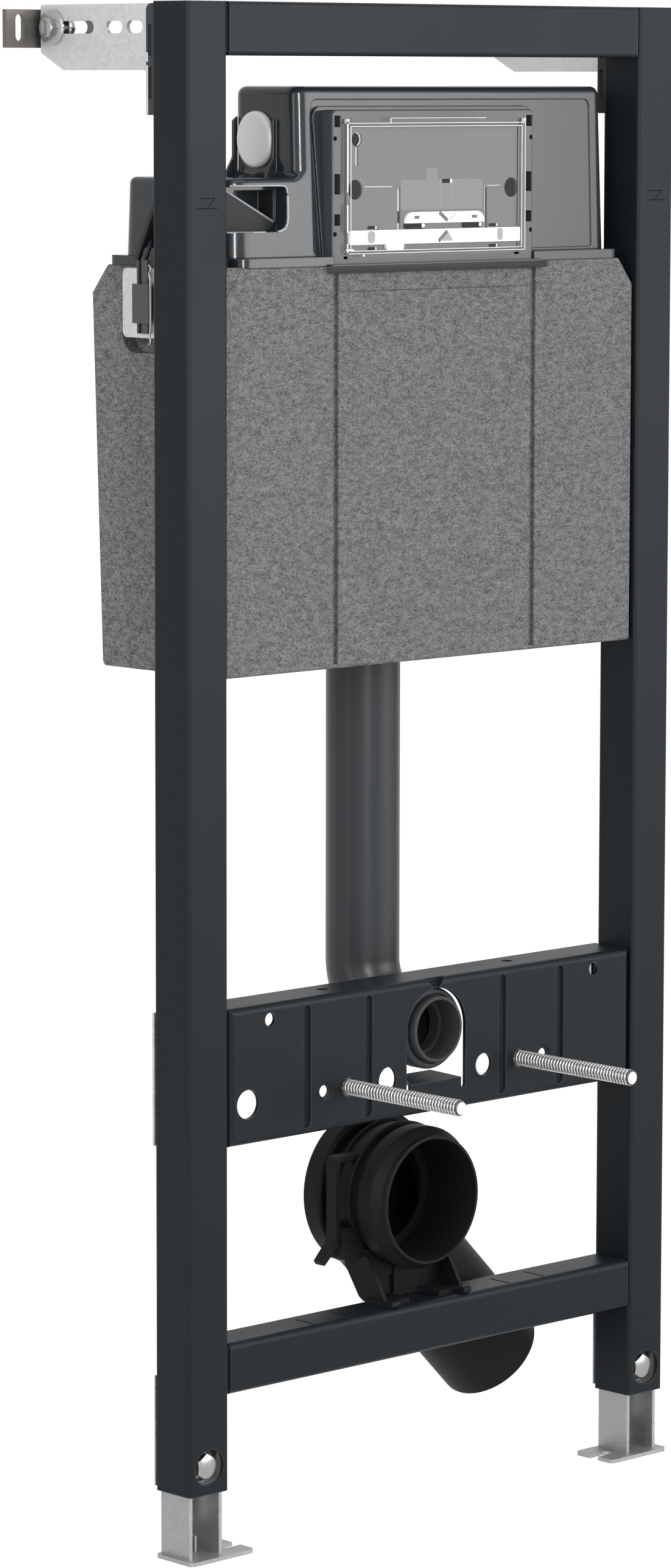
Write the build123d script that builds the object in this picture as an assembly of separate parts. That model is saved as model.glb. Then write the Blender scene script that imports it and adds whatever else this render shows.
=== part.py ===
from build123d import *
import math
import os

# All sizes are millimetres. While a piece is made, X runs along the wall from the frame's
# middle, Y runs back from the posts' front faces, and Z runs up from the floor.

# Steel frame
frame_width = 500.0
frame_top = 1126.0
tube_side = 38.0
tube_wall = 2.0
tube_corner = 3.0
post_bottom = 50.0
bar_end_gap = 2.0
cap_drop = 1.0
post_x = frame_width / 2 - tube_side / 2
inner_half = frame_width / 2 - tube_side
tube_middle_y = tube_side / 2

# Heights that follow the toilet pan
stud_height = 333.0
flush_above_studs = 33.0
waste_below_studs = 98.0
bar_below_waste = 76.5
flush_height = stud_height + flush_above_studs
waste_height = stud_height - waste_below_studs
lower_bar_top = waste_height - bar_below_waste

# Lower bar and its slots
lower_bar_corner = 5.0
bar_slot_length = 22.0
bar_slot_width = 2.2
bar_slot_y = 15.5
bar_slot_places = (84.0, 121.0)

# Plate that carries the toilet pan
plate_below_studs = 30.0
plate_above_flush = 38.5
plate_bottom = stud_height - plate_below_studs
plate_top = flush_height + plate_above_flush
plate_front = 1.0
plate_wall = 3.0
plate_corner = 5.0
plate_end_gap = 2.0
plate_half = inner_half - plate_end_gap
stud_centres = 180.0
second_hole_centres = 230.0
stud_diameter = 12.0
stud_reach = 116.0
stud_tail = 20.0
stud_chamfer = 1.6
stud_hole_clearance = 1.25
nut_across_flats = 18.0
nut_thickness = 10.0
second_hole_diameter = 9.0
dimple_diameter = 16.0
dimple_depth = 1.2
dimple_collar = 2.0
round_hole_diameter = 17.0
round_hole_x = 50.5
oval_hole_width = 20.0
oval_hole_height = 18.5
side_hole_diameter = 21.5
side_hole_inset = 20.0
side_hole_x = -(inner_half - side_hole_inset)
top_hole_diameter = 10.0
top_hole_x = 170.0
top_hole_drop = 11.5
bead_places = (70.5, 133.0)
bead_width = 8.5
bead_depth = 3.0
bead_flank_angle = 25.0
bead_end_margin = 5.0
arch_clearance = 0.0
arch_leg_length = 48.0
arch_leg_width = 4.5
arrow_half_width = 11.5
arrow_tip_half = 1.5
arrow_depth = 6.0
arrow_into_arch = 1.0
flange_hole_diameter = 9.0
flange_hole_x = 97.0
strap_wall = 2.0
strap_width = 44.0
strap_margin = 2.0

# Flush pipe and its socket
flush_pipe_diameter = 56.0
flush_pipe_wall = 3.0
flush_pipe_y = 81.0
flush_bend_radius = 46.0
flush_pipe_sunk = 20.0
flush_lip_diameter = 50.0
flush_bore_diameter = 45.0
flush_bore_length = 20.0
flush_seat_diameter = 39.0
flush_collar_diameter = 62.0
flush_collar_round = 4.0
flush_groove_width = 1.8
flush_groove_depth = 3.0
flush_lip_front = -1.5
flush_lip_length = 6.0
flush_collar_length = 16.0
flush_socket_length = 29.5
shelf_gap = 4.5
shelf_front_half = 26.5
shelf_rear_half = 15.0
shelf_depth = 22.0
shelf_climb = 4.0
arch_radius = flush_collar_diameter / 2 + arch_clearance

# Feet
foot_plate_thickness = 3.0
foot_plate_front = -4.0
foot_plate_depth = 40.0
foot_plate_corner = 4.0
foot_plate_beyond_post = 2.0
foot_plate_width = 62.0
foot_plate_outer = frame_width / 2 + foot_plate_beyond_post
foot_plate_inner = foot_plate_outer - foot_plate_width
foot_slot_width = 9.0
foot_slot_depth = 18.0
foot_channel_width = 32.0
foot_channel_front = 4.5
foot_channel_rear = 35.0
foot_channel_wall = 3.0
foot_channel_top = 250.0
foot_pin_diameter = 3.0
foot_pin_height = 11.5
foot_pin_inset = 26.0
foot_pin_y = 21.5
foot_retract = 40.0
foot_extend = 150.0
clamp_height = 70.0
clamp_diameter = 10.0
clamp_slot_clearance = 0.5
clamp_head_across = 17.0
clamp_head_front = 2.2
clamp_head_thickness = 6.4
clamp_washer_diameter = 24.0
clamp_washer_thickness = 2.0
clamp_sleeve_diameter = 16.0
clamp_window_width = 25.5
clamp_window_height = 28.0
clamp_window_straight = 0.5
clamp_nut_thickness = 6.0
clamp_tail = 2.0
back_plate_thickness = 1.0
back_plate_below_clamp = 17.0
back_plate_height = 82.0
moving_gap = 0.3

# Wall fixing at the top of each post
bracket_drop = 1.5
bracket_top = frame_top - bracket_drop
carrier_depth = 8.0
carrier_width = 34.0
carrier_height = 78.5
carrier_proud = 2.0
carrier_corner = 5.0
carrier_recess_depth = 2.0
carrier_recess_width = 4.0
carrier_recess_height = 22.0
carrier_recess_drops = (26.0, 56.0)
bracket_wall = 3.0
bracket_leg_wall = 2.0
bracket_inset = 4.0
bracket_outer_x = -(frame_width / 2 - bracket_inset)
bracket_pitch = 2 * post_x
bracket_height = 47.0
bracket_leg_height = 76.5
bracket_leg_width = 30.0
bracket_rear = 162.5
bracket_flange_width = 14.0
bracket_bend_round = 2.0
bracket_chamfer = 12.5
bracket_slot_height = 9.0
bracket_slots = ((104.5, 154.0), (73.7, 91.2), (51.9, 68.9))
wall_bolt_y = 149.5
wall_bolt_drop = 16.5
wall_bolt_z = bracket_top - wall_bolt_drop
wall_bolt_diameter = 8.0
wall_bolt_across = 13.0
wall_bolt_head = 5.3
wall_bolt_tail = 2.0
wall_washer_diameter = 26.0
wall_washer_thickness = 2.0
inner_washer_diameter = 20.0
wall_nut_thickness = 6.5
wall_y = 170.0
wall_leg_thickness = 4.0
wall_leg_reach = 33.0
angle_below_bolt = 14.5
angle_above_bolt = 13.0
angle_length = 62.0
wall_slot_width = 8.5
wall_slot_height = 20.0
wall_slot_offset = 20.0
frame_travel = 30.0

# Insulation round the lower cistern
block_side_gap = 2.6
block_half = inner_half - block_side_gap
block_front = 4.2
block_height = 292.6
block_below_frame = 189.0
block_top = frame_top - block_below_frame
block_bottom = block_top - block_height
block_rear = 148.5
block_rear_bottom = 138.6
block_chamfer_width = 15.0
block_chamfer_height = 20.0
block_rear_chamfer = 16.0
groove_x = 102.0
groove_width = 5.6
groove_depth = 3.0
groove_stop = 3.0
foam_line_drop = 18.5
foam_line_width = 1.0
foam_line_depth = 0.8
recess_depth = 12.0
recess_rear = 116.0
recess_front = 60.0
recess_height = 62.5
recess_corner = 14.0

# Sheets and clips that tie the cistern to the posts
hanger_front = 12.0
hanger_rear = 112.7
hanger_height = 50.0
hanger_top_drop = 1.2
hanger_corner = 5.0
clip_rear_rib_y = 91.3
clip_front_rib_y = 82.0
clip_rear_rib_width = 2.0
clip_front_rib_width = 5.6
clip_rib_reach = 3.5
clip_web = 1.0
clip_above_block = 5.0
clip_below_block = 48.0
clip_plate_rear = 96.2
clip_plate_front = 78.5
clip_plate_wall = 2.0
clip_plate_drops = (12.2, 40.5)

# Rim and upper part of the cistern
rim_inset = 16.0
rim_half = inner_half - rim_inset
rim_height = 7.0
rim_front = 4.4
rim_rear = 147.5
rim_front_corner = 12.0
rim_rear_corner = 8.0
tank_base = block_top + rim_height
tank_half = inner_half - 16.5
tank_front_low = 16.0
tank_height = 122.4
tank_top = tank_base + tank_height
tank_draft = 1.9
tank_corner = 12.0
tank_top_round = 6.5
tank_boss_corner = 20.0
tank_low_height = 57.0
tank_low_rear = 133.0
ledge_round = 5.0
step_foot_round = 6.0
tank_high_rear = 89.0
tank_step_x = -127.0
panel_border = 14.0
panel_recess = 1.0
pocket_right = 138.0
pocket_corner = 12.0
pocket_roof_corner = 3.0
pocket_floor_rise = 18.5
pocket_roof_rise = 51.0
pocket_edge_round = 4.0
pocket_depth = 14.0
hollow_depth = 16.0
hollow_left = 186.0
hollow_low_rise = 24.0
end_cut_front = 50.0
end_cut_rear = 110.0
end_cut_depth = 18.0
fin_y = (41.5, 84.0)
fin_wall = 2.0
fin_reach = 10.0
fin_height = 43.5
plug_width = 36.5
plug_height = 41.0
plug_proud = 5.0
plug_round = 3.0
plug_y = 61.0
plug_rise = 84.0

# Service opening on the tank's front
service_half = 103.4
service_below_base = 6.0
service_height = 111.5
service_bottom = tank_base - service_below_base
service_top = service_bottom + service_height
service_front = 6.2
service_skirt = 24.0
service_corner = 4.0
service_edge_round = 1.5
service_ledge_depth = 1.9
plinth_proud = 1.6
plinth_foot_half = 105.3
plinth_head_half = 113.4
plinth_above_frame = 2.3
plinth_corner = 8.0
window_half = 89.5
window_below_cover = 2.1
cavity_half = 86.0
cavity_depth = 20.0
cover_half = 92.1
cover_margin = 9.5
cover_height = 94.6
cover_front = 3.0
cover_pane = 1.2
cover_side_border = 4.0
cover_end_border = 2.0
cover_tab_half = 49.2
cover_tab_height = 3.7
cover_strip_half = 76.5
cover_strip_height = 2.0
cover_tab_front = 1.8
lip_half = 108.3
lip_front = 0.8
lip_height = 5.3
lip_round = 2.5
strip_hole_x = 98.8
strip_hole_width = 6.0
strip_hole_depth = 6.0
strip_hole_spans = ((93.0, 101.3), (44.7, 59.4), (22.1, 30.4))
strip_round_x = 101.0
strip_round_diameter = 3.6
strip_round_rises = (84.8, 16.0)
panel_thickness = 1.5
keyhole_x = -79.0
keyhole_rise = 84.2
keyhole_diameter = 10.4
keyslot_width = 2.9
keyslot_end_rise = 65.0
panel_hole_x = 80.5
panel_hole_rise = 47.8
panel_hole_diameter = 14.5
panel_slot_x = (-36.2, 53.7)
panel_slot_width = 3.0
panel_slot_rises = (17.5, 48.5)
lever_slot_x = 62.6
lever_slot_length = 11.5
lever_slot_width = 2.3
lever_slot_rises = (5.0, 20.3)
bar_half = 88.0
bar_rise = 8.0
bar_height = 10.3
bar_front = 4.4
bar_tab_x = (-51.0, -33.0)
bar_tab_drop = 4.4
bridge_middle_x = 9.5
bridge_half = 40.8
bridge_rise = 22.8
bridge_height = 8.1
bridge_corner = 7.5
lever_plate_wall = 1.5
lever_plate_spans = (-42.0, 62.0)
lever_plate_rises = (7.2, 50.0)

# Waste bend
waste_front = 4.5
waste_lip_diameter = 98.0
waste_lip_length = 5.0
waste_bore_diameter = 93.0
waste_bore_depth = 52.0
bend_into_socket = 12.0
waste_band_diameter = 109.0
waste_band_front = 16.5
waste_band_rear = 30.0
waste_body_diameter = 102.0
waste_collar_diameter = 120.0
waste_collar_front = 65.0
waste_collar_rear = 84.0
waste_collar_round = 3.0
outlet_y = 99.5
outlet_diameter = 85.0
outlet_spigot_diameter = 84.0
outlet_spigot_length = 60.0
outlet_spigot_chamfer = 1.5
outlet_wall = 3.5
outlet_run = 157.0
outlet_bend_radius = 45.0
outlet_turn = math.radians(45.0)

# Strap over the bend, its lever, and the cradle below
strap_front = 38.0
strap_rear = 56.0
strap_band_wall = 2.2
strap_rib_wall = 4.6
strap_rib_width = 2.5
strap_split_drop = 15.0
lever_y = 46.0
lever_width = 10.0
lever_wall = 4.0
lever_out_x = -64.0
lever_root_x = -42.0
lever_rise = 34.0
lever_drop = 28.0
lever_tip_out = 13.0
lever_tip_drop = 14.0
lever_bend = 6.0
latch_below_split = 4.0
latch_height = 24.0
cradle_leg_half = 41.5
cradle_leg_wall = 3.0
cradle_foot_front = 11.0
cradle_foot_rear = 36.0
cradle_rear = 56.5
cradle_tab_wall = 3.8
cradle_hook_diameter = 5.6
cradle_hook_front = 0.8
cradle_web_wall = 3.0
cradle_web_y = 36.0
cradle_panel_half = 12.5
cradle_step_rise = 17.0
cradle_foot_gap = 2.0
cradle_tabs = ((-44.7, -18.0, 10.0, 31.0), (13.0, 38.5, 10.0, 33.0))
cradle_hooks = ((-45.0, -36.5), (30.5, 38.0))

# The part's origin: on the wall face of the left wall angle
origin_x = -frame_width / 2
origin_y = wall_y
origin_z = wall_bolt_z - 1.0


def block(x0, x1, y0, y1, z0, z1):
    """A box between two corners."""
    middle = Pos((x0 + x1) / 2, (y0 + y1) / 2, (z0 + z1) / 2)
    return middle * Box(x1 - x0, y1 - y0, z1 - z0)


def rod(start, direction, radius, length):
    """A round bar from a point, along a direction."""
    return Plane(origin=start, z_dir=direction) * Cylinder(
        radius, length, align=(Align.CENTER, Align.CENTER, Align.MIN))


def hex_bar(start, direction, across_flats, length):
    """A six-sided bar from a point, along a direction."""
    shape = RegularPolygon(across_flats / 2, 6, major_radius=False)
    return extrude(Plane(origin=start, z_dir=direction) * shape, length)


def slot_bar(centre, direction, x_direction, length, width, depth):
    """A bar with a slot's outline, its long way along x_direction."""
    shape = SlotOverall(length, width)
    plane = Plane(origin=centre, x_dir=x_direction, z_dir=direction)
    return extrude(plane * shape, depth)


def outline(points):
    """A flat closed outline. A point's third number rounds its corner to that radius."""
    face = make_face(Polyline(*[(p[0], p[1]) for p in points], close=True))
    for point in points:
        if len(point) > 2:
            corner = face.vertices().sort_by_distance((point[0], point[1], 0))[0]
            face = fillet(corner, point[2])
    return face


def facing(points, y0, y1):
    """An outline given as (x, z) points, as thick as from y0 to y1."""
    flipped = [(p[0], -p[1]) + tuple(p[2:]) for p in points]
    plane = Plane(origin=(0, y0, 0), x_dir=(1, 0, 0), z_dir=(0, 1, 0))
    return extrude(plane * outline(flipped), y1 - y0)


def sideways(points, x0, x1):
    """An outline given as (y, z) points, as thick as from x0 to x1."""
    plane = Plane(origin=(x0, 0, 0), x_dir=(0, 1, 0), z_dir=(1, 0, 0))
    return extrude(plane * outline(points), x1 - x0)


def level(points, z0, z1):
    """An outline given as (x, y) points, as high as from z0 to z1."""
    return extrude(Pos(0, 0, z0) * outline(points), z1 - z0)


def turned(points, centre):
    """A solid turned about a line along Y through centre, from (radius, y) points."""
    plane = Plane(origin=(centre[0], 0, centre[2]), x_dir=(1, 0, 0), z_dir=(0, 0, 1))
    return revolve(plane * outline(points), Axis((centre[0], 0, centre[2]), (0, 1, 0)))


def mirrored(solid):
    """The same piece on the other side of the frame's middle plane."""
    return mirror(solid, about=Plane.YZ)


def square_tube(length, corner):
    """A square tube along Z with rounded corners."""
    outer = RectangleRounded(tube_side, tube_side, corner)
    inner_side = tube_side - 2 * tube_wall
    inner = RectangleRounded(inner_side, inner_side, max(corner - tube_wall, 0.5))
    return extrude(outer - inner, length)


def post_left():
    tube = Pos(-post_x, tube_middle_y, post_bottom) * square_tube(
        frame_top - post_bottom, tube_corner)
    half_inside = tube_side / 2 - tube_wall
    cap = block(-post_x - half_inside, -post_x + half_inside, tube_wall, tube_side - tube_wall,
                frame_top - cap_drop - tube_wall, frame_top - cap_drop)
    window = extrude(
        Plane(origin=(-post_x, -1, clamp_height), z_dir=(0, 1, 0))
        * RectangleRounded(clamp_window_width, clamp_window_height,
                           clamp_window_width / 2 - clamp_window_straight),
        tube_wall + 2)
    bolt_hole = rod((-post_x, tube_side - tube_wall - 1, clamp_height), (0, 1, 0),
                    clamp_diameter / 2 + moving_gap, tube_wall + 2)
    return tube + cap - window - bolt_hole


def cross_bar(bottom, corner):
    """A tube between the posts, on recessed plugs that leave a dark seam at both ends."""
    length = 2 * (inner_half - bar_end_gap)
    tube = Plane(origin=(-length / 2, tube_middle_y, bottom + tube_side / 2),
                 x_dir=(0, 1, 0), z_dir=(1, 0, 0)) * square_tube(length, corner)
    inner = tube_side - 2 * tube_wall
    for side in (-1, 1):
        plug = Box(bar_end_gap + tube_wall, inner, inner)
        tube += Pos(side * (inner_half - (bar_end_gap + tube_wall) / 2), tube_middle_y,
                    bottom + tube_side / 2) * plug
    return tube


def top_bar():
    return cross_bar(frame_top - tube_side, tube_corner)


def lower_bar():
    bar = cross_bar(lower_bar_top - tube_side, lower_bar_corner)
    for side in (-1, 1):
        for x in bar_slot_places:
            bar -= slot_bar((side * x, bar_slot_y, lower_bar_top - tube_wall - 1), (0, 0, 1),
                            (0, 1, 0), bar_slot_length, bar_slot_width, tube_wall + 2)
    return bar


def mounting_plate():
    height = plate_top - plate_bottom
    middle_z = (plate_top + plate_bottom) / 2
    sheet_back = plate_front + plate_wall
    pan = block(-plate_half, plate_half, plate_front, tube_side, plate_bottom, plate_top)
    pan = fillet(pan.faces().sort_by(Axis.Y)[0].edges(), plate_corner)
    hollow = block(-plate_half + plate_wall, plate_half - plate_wall, sheet_back,
                   tube_side + 1, plate_bottom + plate_wall, plate_top - plate_wall)
    hollow = fillet(hollow.faces().sort_by(Axis.Y)[0].edges(), plate_corner - plate_wall)
    pan -= hollow
    through = plate_wall + 4
    front = plate_front - 2

    def hole(x, z, diameter):
        return rod((x, front, z), (0, 1, 0), diameter / 2, through)

    for side in (-1, 1):
        pan -= hole(side * stud_centres / 2, stud_height, stud_diameter + 2 * stud_hole_clearance)
        pan -= hole(side * second_hole_centres / 2, stud_height, second_hole_diameter)
        second = Plane(origin=(side * second_hole_centres / 2, plate_front, stud_height),
                       z_dir=(0, 1, 0))
        pan -= second * Cone(dimple_diameter / 2, second_hole_diameter / 2, dimple_depth,
                             align=(Align.CENTER, Align.CENTER, Align.MIN))
        pan -= hole(side * top_hole_x, plate_top - top_hole_drop, top_hole_diameter)
        pan -= rod((side * flange_hole_x, tube_middle_y + 4, plate_top - plate_wall - 1),
                   (0, 0, 1), flange_hole_diameter / 2, plate_wall + 2)
        for x in bead_places:
            length = height - 2 * bead_end_margin
            backing = block(side * x - bead_width / 2, side * x + bead_width / 2,
                            sheet_back, sheet_back + bead_depth,
                            middle_z - length / 2, middle_z + length / 2)
            plane = Plane(origin=(side * x, plate_front, middle_z), x_dir=(0, 0, 1),
                          z_dir=(0, 1, 0))
            groove = extrude(plane * SlotOverall(length, bead_width), bead_depth,
                             taper=bead_flank_angle)
            pan = pan + backing - groove
    pan -= hole(round_hole_x, stud_height, round_hole_diameter)
    pan -= extrude(Plane(origin=(-round_hole_x, front, stud_height), z_dir=(0, 1, 0))
                   * Ellipse(oval_hole_width / 2, oval_hole_height / 2), through)
    pan -= hole(side_hole_x, stud_height, side_hole_diameter)
    pan -= hole(0, flush_height, 2 * arch_radius)
    shelf_edge = flush_height - arch_radius - shelf_gap - shelf_climb
    leg_foot = flush_height - arch_leg_length
    gap = slot_clear(shelf_edge, leg_foot, front)
    lean = math.atan2(shelf_climb, shelf_depth)
    tilted = Plane(origin=(0, plate_front + plate_wall * math.sin(lean), shelf_edge - plate_wall),
                   x_dir=(1, 0, 0),
                   z_dir=(0, -math.sin(lean), math.cos(lean)))
    shelf = extrude(tilted * outline([(-shelf_front_half, 0), (shelf_front_half, 0),
                                      (shelf_rear_half, shelf_depth, 2),
                                      (-shelf_rear_half, shelf_depth, 2)]), plate_wall)
    pan = pan - gap + shelf
    arrow_high = plate_top
    arrow_low = flush_height + arch_radius - arrow_into_arch
    backing = block(-arrow_half_width - plate_wall, arrow_half_width + plate_wall, sheet_back,
                    sheet_back + arrow_depth, arrow_low - 0.5, plate_top - plate_wall)
    backing -= rod((0, 0, flush_height), (0, 1, 0), arch_radius, tube_side)
    dent = sideways([(plate_front, arrow_low), (plate_front + arrow_depth, arrow_high - plate_corner),
                     (plate_front + arrow_depth, arrow_high + 1), (plate_front - 1, arrow_high + 1),
                     (plate_front - 1, arrow_low)], -arrow_half_width, arrow_half_width)
    wedge = facing([(-arrow_half_width, arrow_high + 1), (arrow_half_width, arrow_high + 1),
                    (arrow_tip_half, arrow_low), (-arrow_tip_half, arrow_low)],
                   plate_front - 1, plate_front + arrow_depth + 1)
    return pan + backing - (dent & wedge)


def slot_clear(shelf_edge, leg_foot, front):
    """The opening under the flush socket: a window above the shelf and a narrow leg each side."""
    deep = plate_front + plate_wall + 1
    window = block(-arch_radius, arch_radius, front, deep, shelf_edge, flush_height)
    for side in (-1, 1):
        x = side * (arch_radius - arch_leg_width / 2)
        leg = slot_bar((x, front, (leg_foot + flush_height) / 2), (0, 1, 0), (0, 0, 1),
                       flush_height - leg_foot, arch_leg_width, deep - front)
        window += leg
    return window


def plate_strap_left():
    return block(-frame_width / 2, -frame_width / 2 + strap_width, tube_side, tube_side + strap_wall,
                 plate_bottom + strap_margin, plate_top - strap_margin)


def stud_left():
    x = -stud_centres / 2
    bar = rod((x, -stud_reach, stud_height), (0, 1, 0), stud_diameter / 2, stud_reach + stud_tail)
    bar = chamfer(bar.edges().filter_by(GeomType.CIRCLE).sort_by(Axis.Y)[0], stud_chamfer)
    nut = hex_bar((x, plate_front + plate_wall, stud_height), (0, 1, 0), nut_across_flats,
                  nut_thickness)
    return bar + nut


def foot_left():
    rear = foot_plate_front + foot_plate_depth
    middle_y = (foot_plate_front + rear) / 2
    corner = foot_plate_corner
    plate = level([(-foot_plate_outer, foot_plate_front, corner),
                   (-foot_plate_inner, foot_plate_front, corner),
                   (-foot_plate_inner, rear, corner), (-foot_plate_outer, rear, corner)],
                  0, foot_plate_thickness)
    plate -= slot_bar((-foot_plate_inner, middle_y, -1), (0, 0, 1), (1, 0, 0),
                      2 * foot_slot_depth, foot_slot_width, foot_plate_thickness + 2)
    half = foot_channel_width / 2
    channel = block(-post_x - half, -post_x + half, foot_channel_front, foot_channel_rear,
                    foot_plate_thickness, foot_channel_top)
    channel -= block(-post_x - half + foot_channel_wall, -post_x + half - foot_channel_wall,
                     foot_channel_front - 1, foot_channel_rear - foot_channel_wall,
                     foot_plate_thickness - 1, foot_channel_top + 1)
    slot_low = clamp_height - foot_retract - clamp_diameter
    slot_high = clamp_height + foot_extend + clamp_diameter
    slot = slot_bar((-post_x, foot_channel_rear - foot_channel_wall - 1, (slot_low + slot_high) / 2),
                    (0, 1, 0), (0, 0, 1), slot_high - slot_low,
                    clamp_diameter + 2 * clamp_slot_clearance, foot_channel_wall + 2)
    pin = rod((-foot_plate_outer + foot_pin_inset, foot_pin_y, foot_plate_thickness), (0, 0, 1),
              foot_pin_diameter / 2, foot_pin_height)
    return plate + (channel - slot) + pin


def clamp_bolt_left():
    x = -post_x
    front = (x, clamp_head_front, clamp_height)
    washer_y = clamp_head_front + clamp_head_thickness
    sleeve_y = washer_y + clamp_washer_thickness
    web_y = foot_channel_rear - foot_channel_wall
    rear = tube_side + back_plate_thickness + clamp_nut_thickness
    bolt = hex_bar(front, (0, 1, 0), clamp_head_across, clamp_head_thickness)
    bolt += rod((x, washer_y, clamp_height), (0, 1, 0), clamp_washer_diameter / 2,
                clamp_washer_thickness)
    bolt += rod((x, sleeve_y, clamp_height), (0, 1, 0), clamp_sleeve_diameter / 2,
                web_y - moving_gap - sleeve_y)
    bolt += rod((x, sleeve_y, clamp_height), (0, 1, 0), clamp_diameter / 2,
                rear + clamp_tail - sleeve_y)
    bolt += hex_bar((x, tube_side + back_plate_thickness, clamp_height), (0, 1, 0),
                    clamp_head_across, clamp_nut_thickness)
    return bolt


def back_plate_left():
    bottom = clamp_height - back_plate_below_clamp
    plate = block(-frame_width / 2, -inner_half, tube_side, tube_side + back_plate_thickness,
                  bottom, bottom + back_plate_height)
    return plate - rod((-post_x, tube_side - 1, clamp_height), (0, 1, 0),
                       clamp_diameter / 2 + moving_gap, back_plate_thickness + 2)


def bracket_carrier_left():
    x0 = bracket_outer_x - carrier_proud
    rear = tube_side + carrier_depth
    bottom = bracket_top - carrier_height
    carrier = sideways([(tube_side, bottom), (rear, bottom, 2), (rear, bracket_top, carrier_corner),
                        (tube_side, bracket_top)], x0, x0 + carrier_width)
    middle = tube_side + carrier_depth / 2
    for drop in carrier_recess_drops:
        carrier -= block(x0 - 1, x0 + carrier_recess_depth, middle - carrier_recess_width / 2,
                         middle + carrier_recess_width / 2,
                         bracket_top - drop - carrier_recess_height / 2,
                         bracket_top - drop + carrier_recess_height / 2)
    return carrier


def wall_bracket_left():
    x0 = bracket_outer_x
    y0 = tube_side + carrier_depth
    bottom = bracket_top - bracket_height
    leg_bottom = bracket_top - bracket_leg_height
    side = sideways([(y0, bottom), (bracket_rear - 2 * bracket_chamfer, bottom),
                     (bracket_rear, bottom + bracket_chamfer), (bracket_rear, bracket_top),
                     (y0, bracket_top)], x0, x0 + bracket_wall)
    for y_low, y_high in bracket_slots:
        side -= slot_bar((x0 - 1, (y_low + y_high) / 2, wall_bolt_z), (1, 0, 0), (0, 1, 0),
                         y_high - y_low, bracket_slot_height, bracket_wall + 2)
    leg = block(x0, x0 + bracket_leg_width, y0, y0 + bracket_leg_wall, leg_bottom, bracket_top)
    flange = block(x0, x0 + bracket_flange_width, y0, bracket_rear - 2,
                   bracket_top - bracket_wall, bracket_top)
    bracket = side + leg + flange
    bends = [e for e in bracket.edges().filter_by(Axis.Y)
             if abs(e.center().X - x0) < 0.01 and abs(e.center().Z - bracket_top) < 0.01]
    return fillet(bends, bracket_bend_round)


def wall_bolt_left():
    plate_out = bracket_outer_x
    angle_in = bracket_outer_x + bracket_wall + moving_gap + wall_leg_thickness + moving_gap
    centre = (plate_out - wall_washer_thickness, wall_bolt_y, wall_bolt_z)
    head = hex_bar((centre[0] - wall_bolt_head, wall_bolt_y, wall_bolt_z), (1, 0, 0),
                   wall_bolt_across, wall_bolt_head)
    washer = rod(centre, (1, 0, 0), wall_washer_diameter / 2, wall_washer_thickness)
    inner = rod((angle_in, wall_bolt_y, wall_bolt_z), (1, 0, 0), inner_washer_diameter / 2,
                wall_washer_thickness)
    nut = hex_bar((angle_in + wall_washer_thickness, wall_bolt_y, wall_bolt_z), (1, 0, 0),
                  wall_bolt_across, wall_nut_thickness)
    end = angle_in + wall_washer_thickness + wall_nut_thickness + wall_bolt_tail
    shank = rod(centre, (1, 0, 0), wall_bolt_diameter / 2, end - centre[0])
    return head + washer + shank + inner + nut


def wall_angle_left():
    x0 = bracket_outer_x + bracket_wall + moving_gap
    x1 = x0 + wall_leg_thickness
    bottom = wall_bolt_z - angle_below_bolt
    top = wall_bolt_z + angle_above_bolt
    side = block(x0, x1, wall_y - angle_length, wall_y, bottom, top)
    slot_rear = wall_bolt_y + bracket_slot_height / 2
    slot_front = wall_bolt_y - frame_travel - bracket_slot_height / 2
    side -= slot_bar((x0 - 1, (slot_front + slot_rear) / 2, wall_bolt_z), (1, 0, 0), (0, 1, 0),
                     slot_rear - slot_front, bracket_slot_height, wall_leg_thickness + 2)
    leg = block(x0 - wall_leg_reach, x1, wall_y - wall_leg_thickness, wall_y, bottom, top)
    leg -= slot_bar((x0 - wall_slot_offset, wall_y - wall_leg_thickness - 1, wall_bolt_z),
                    (0, 1, 0), (0, 0, 1), wall_slot_height, wall_slot_width,
                    wall_leg_thickness + 2)
    return side + leg


def insulation_shell():
    body = sideways([(block_front, block_bottom, 2), (block_rear_bottom, block_bottom, 4),
                     (block_rear, block_top - block_chamfer_height), (block_rear, block_top, 1.5),
                     (block_front, block_top, 1)], -block_half, block_half)
    for side in (-1, 1):
        edge = side * (block_half - block_chamfer_width)
        far = side * (block_half + block_chamfer_width)
        body -= facing([(edge, block_top), (far, block_top),
                        (far, block_top - 2 * block_chamfer_height)],
                       block_front - 1, block_rear + 1)
        body -= block(side * groove_x - groove_width / 2, side * groove_x + groove_width / 2,
                      block_front - 1, block_front + groove_depth,
                      block_bottom + groove_stop, block_top + 1)
        recess = sideways([(recess_front, block_top - recess_height, recess_corner),
                           (recess_rear, block_top - recess_height, recess_corner),
                           (recess_rear, block_top + 1), (recess_front, block_top + 1)],
                          block_half - recess_depth, block_half + 1)
        body -= recess if side > 0 else mirrored(recess)
    line_z = block_top - foam_line_drop
    line_half = groove_x - groove_width / 2
    body -= block(-line_half, line_half, block_front - 1, block_front + foam_line_depth,
                  line_z - foam_line_width / 2, line_z + foam_line_width / 2)
    return body - rod((0, flush_pipe_y, block_bottom - 1), (0, 0, 1), flush_pipe_diameter / 2,
                      flush_pipe_sunk + 1)


def hanger_panel_left():
    """The sheet that ties the insulated cistern to the post's inner face."""
    top = block_top - hanger_top_drop
    return sideways([(hanger_front, top), (hanger_rear, top),
                     (hanger_rear, top - hanger_height, hanger_corner),
                     (hanger_front, top - hanger_height)], -inner_half, -block_half)


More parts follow.
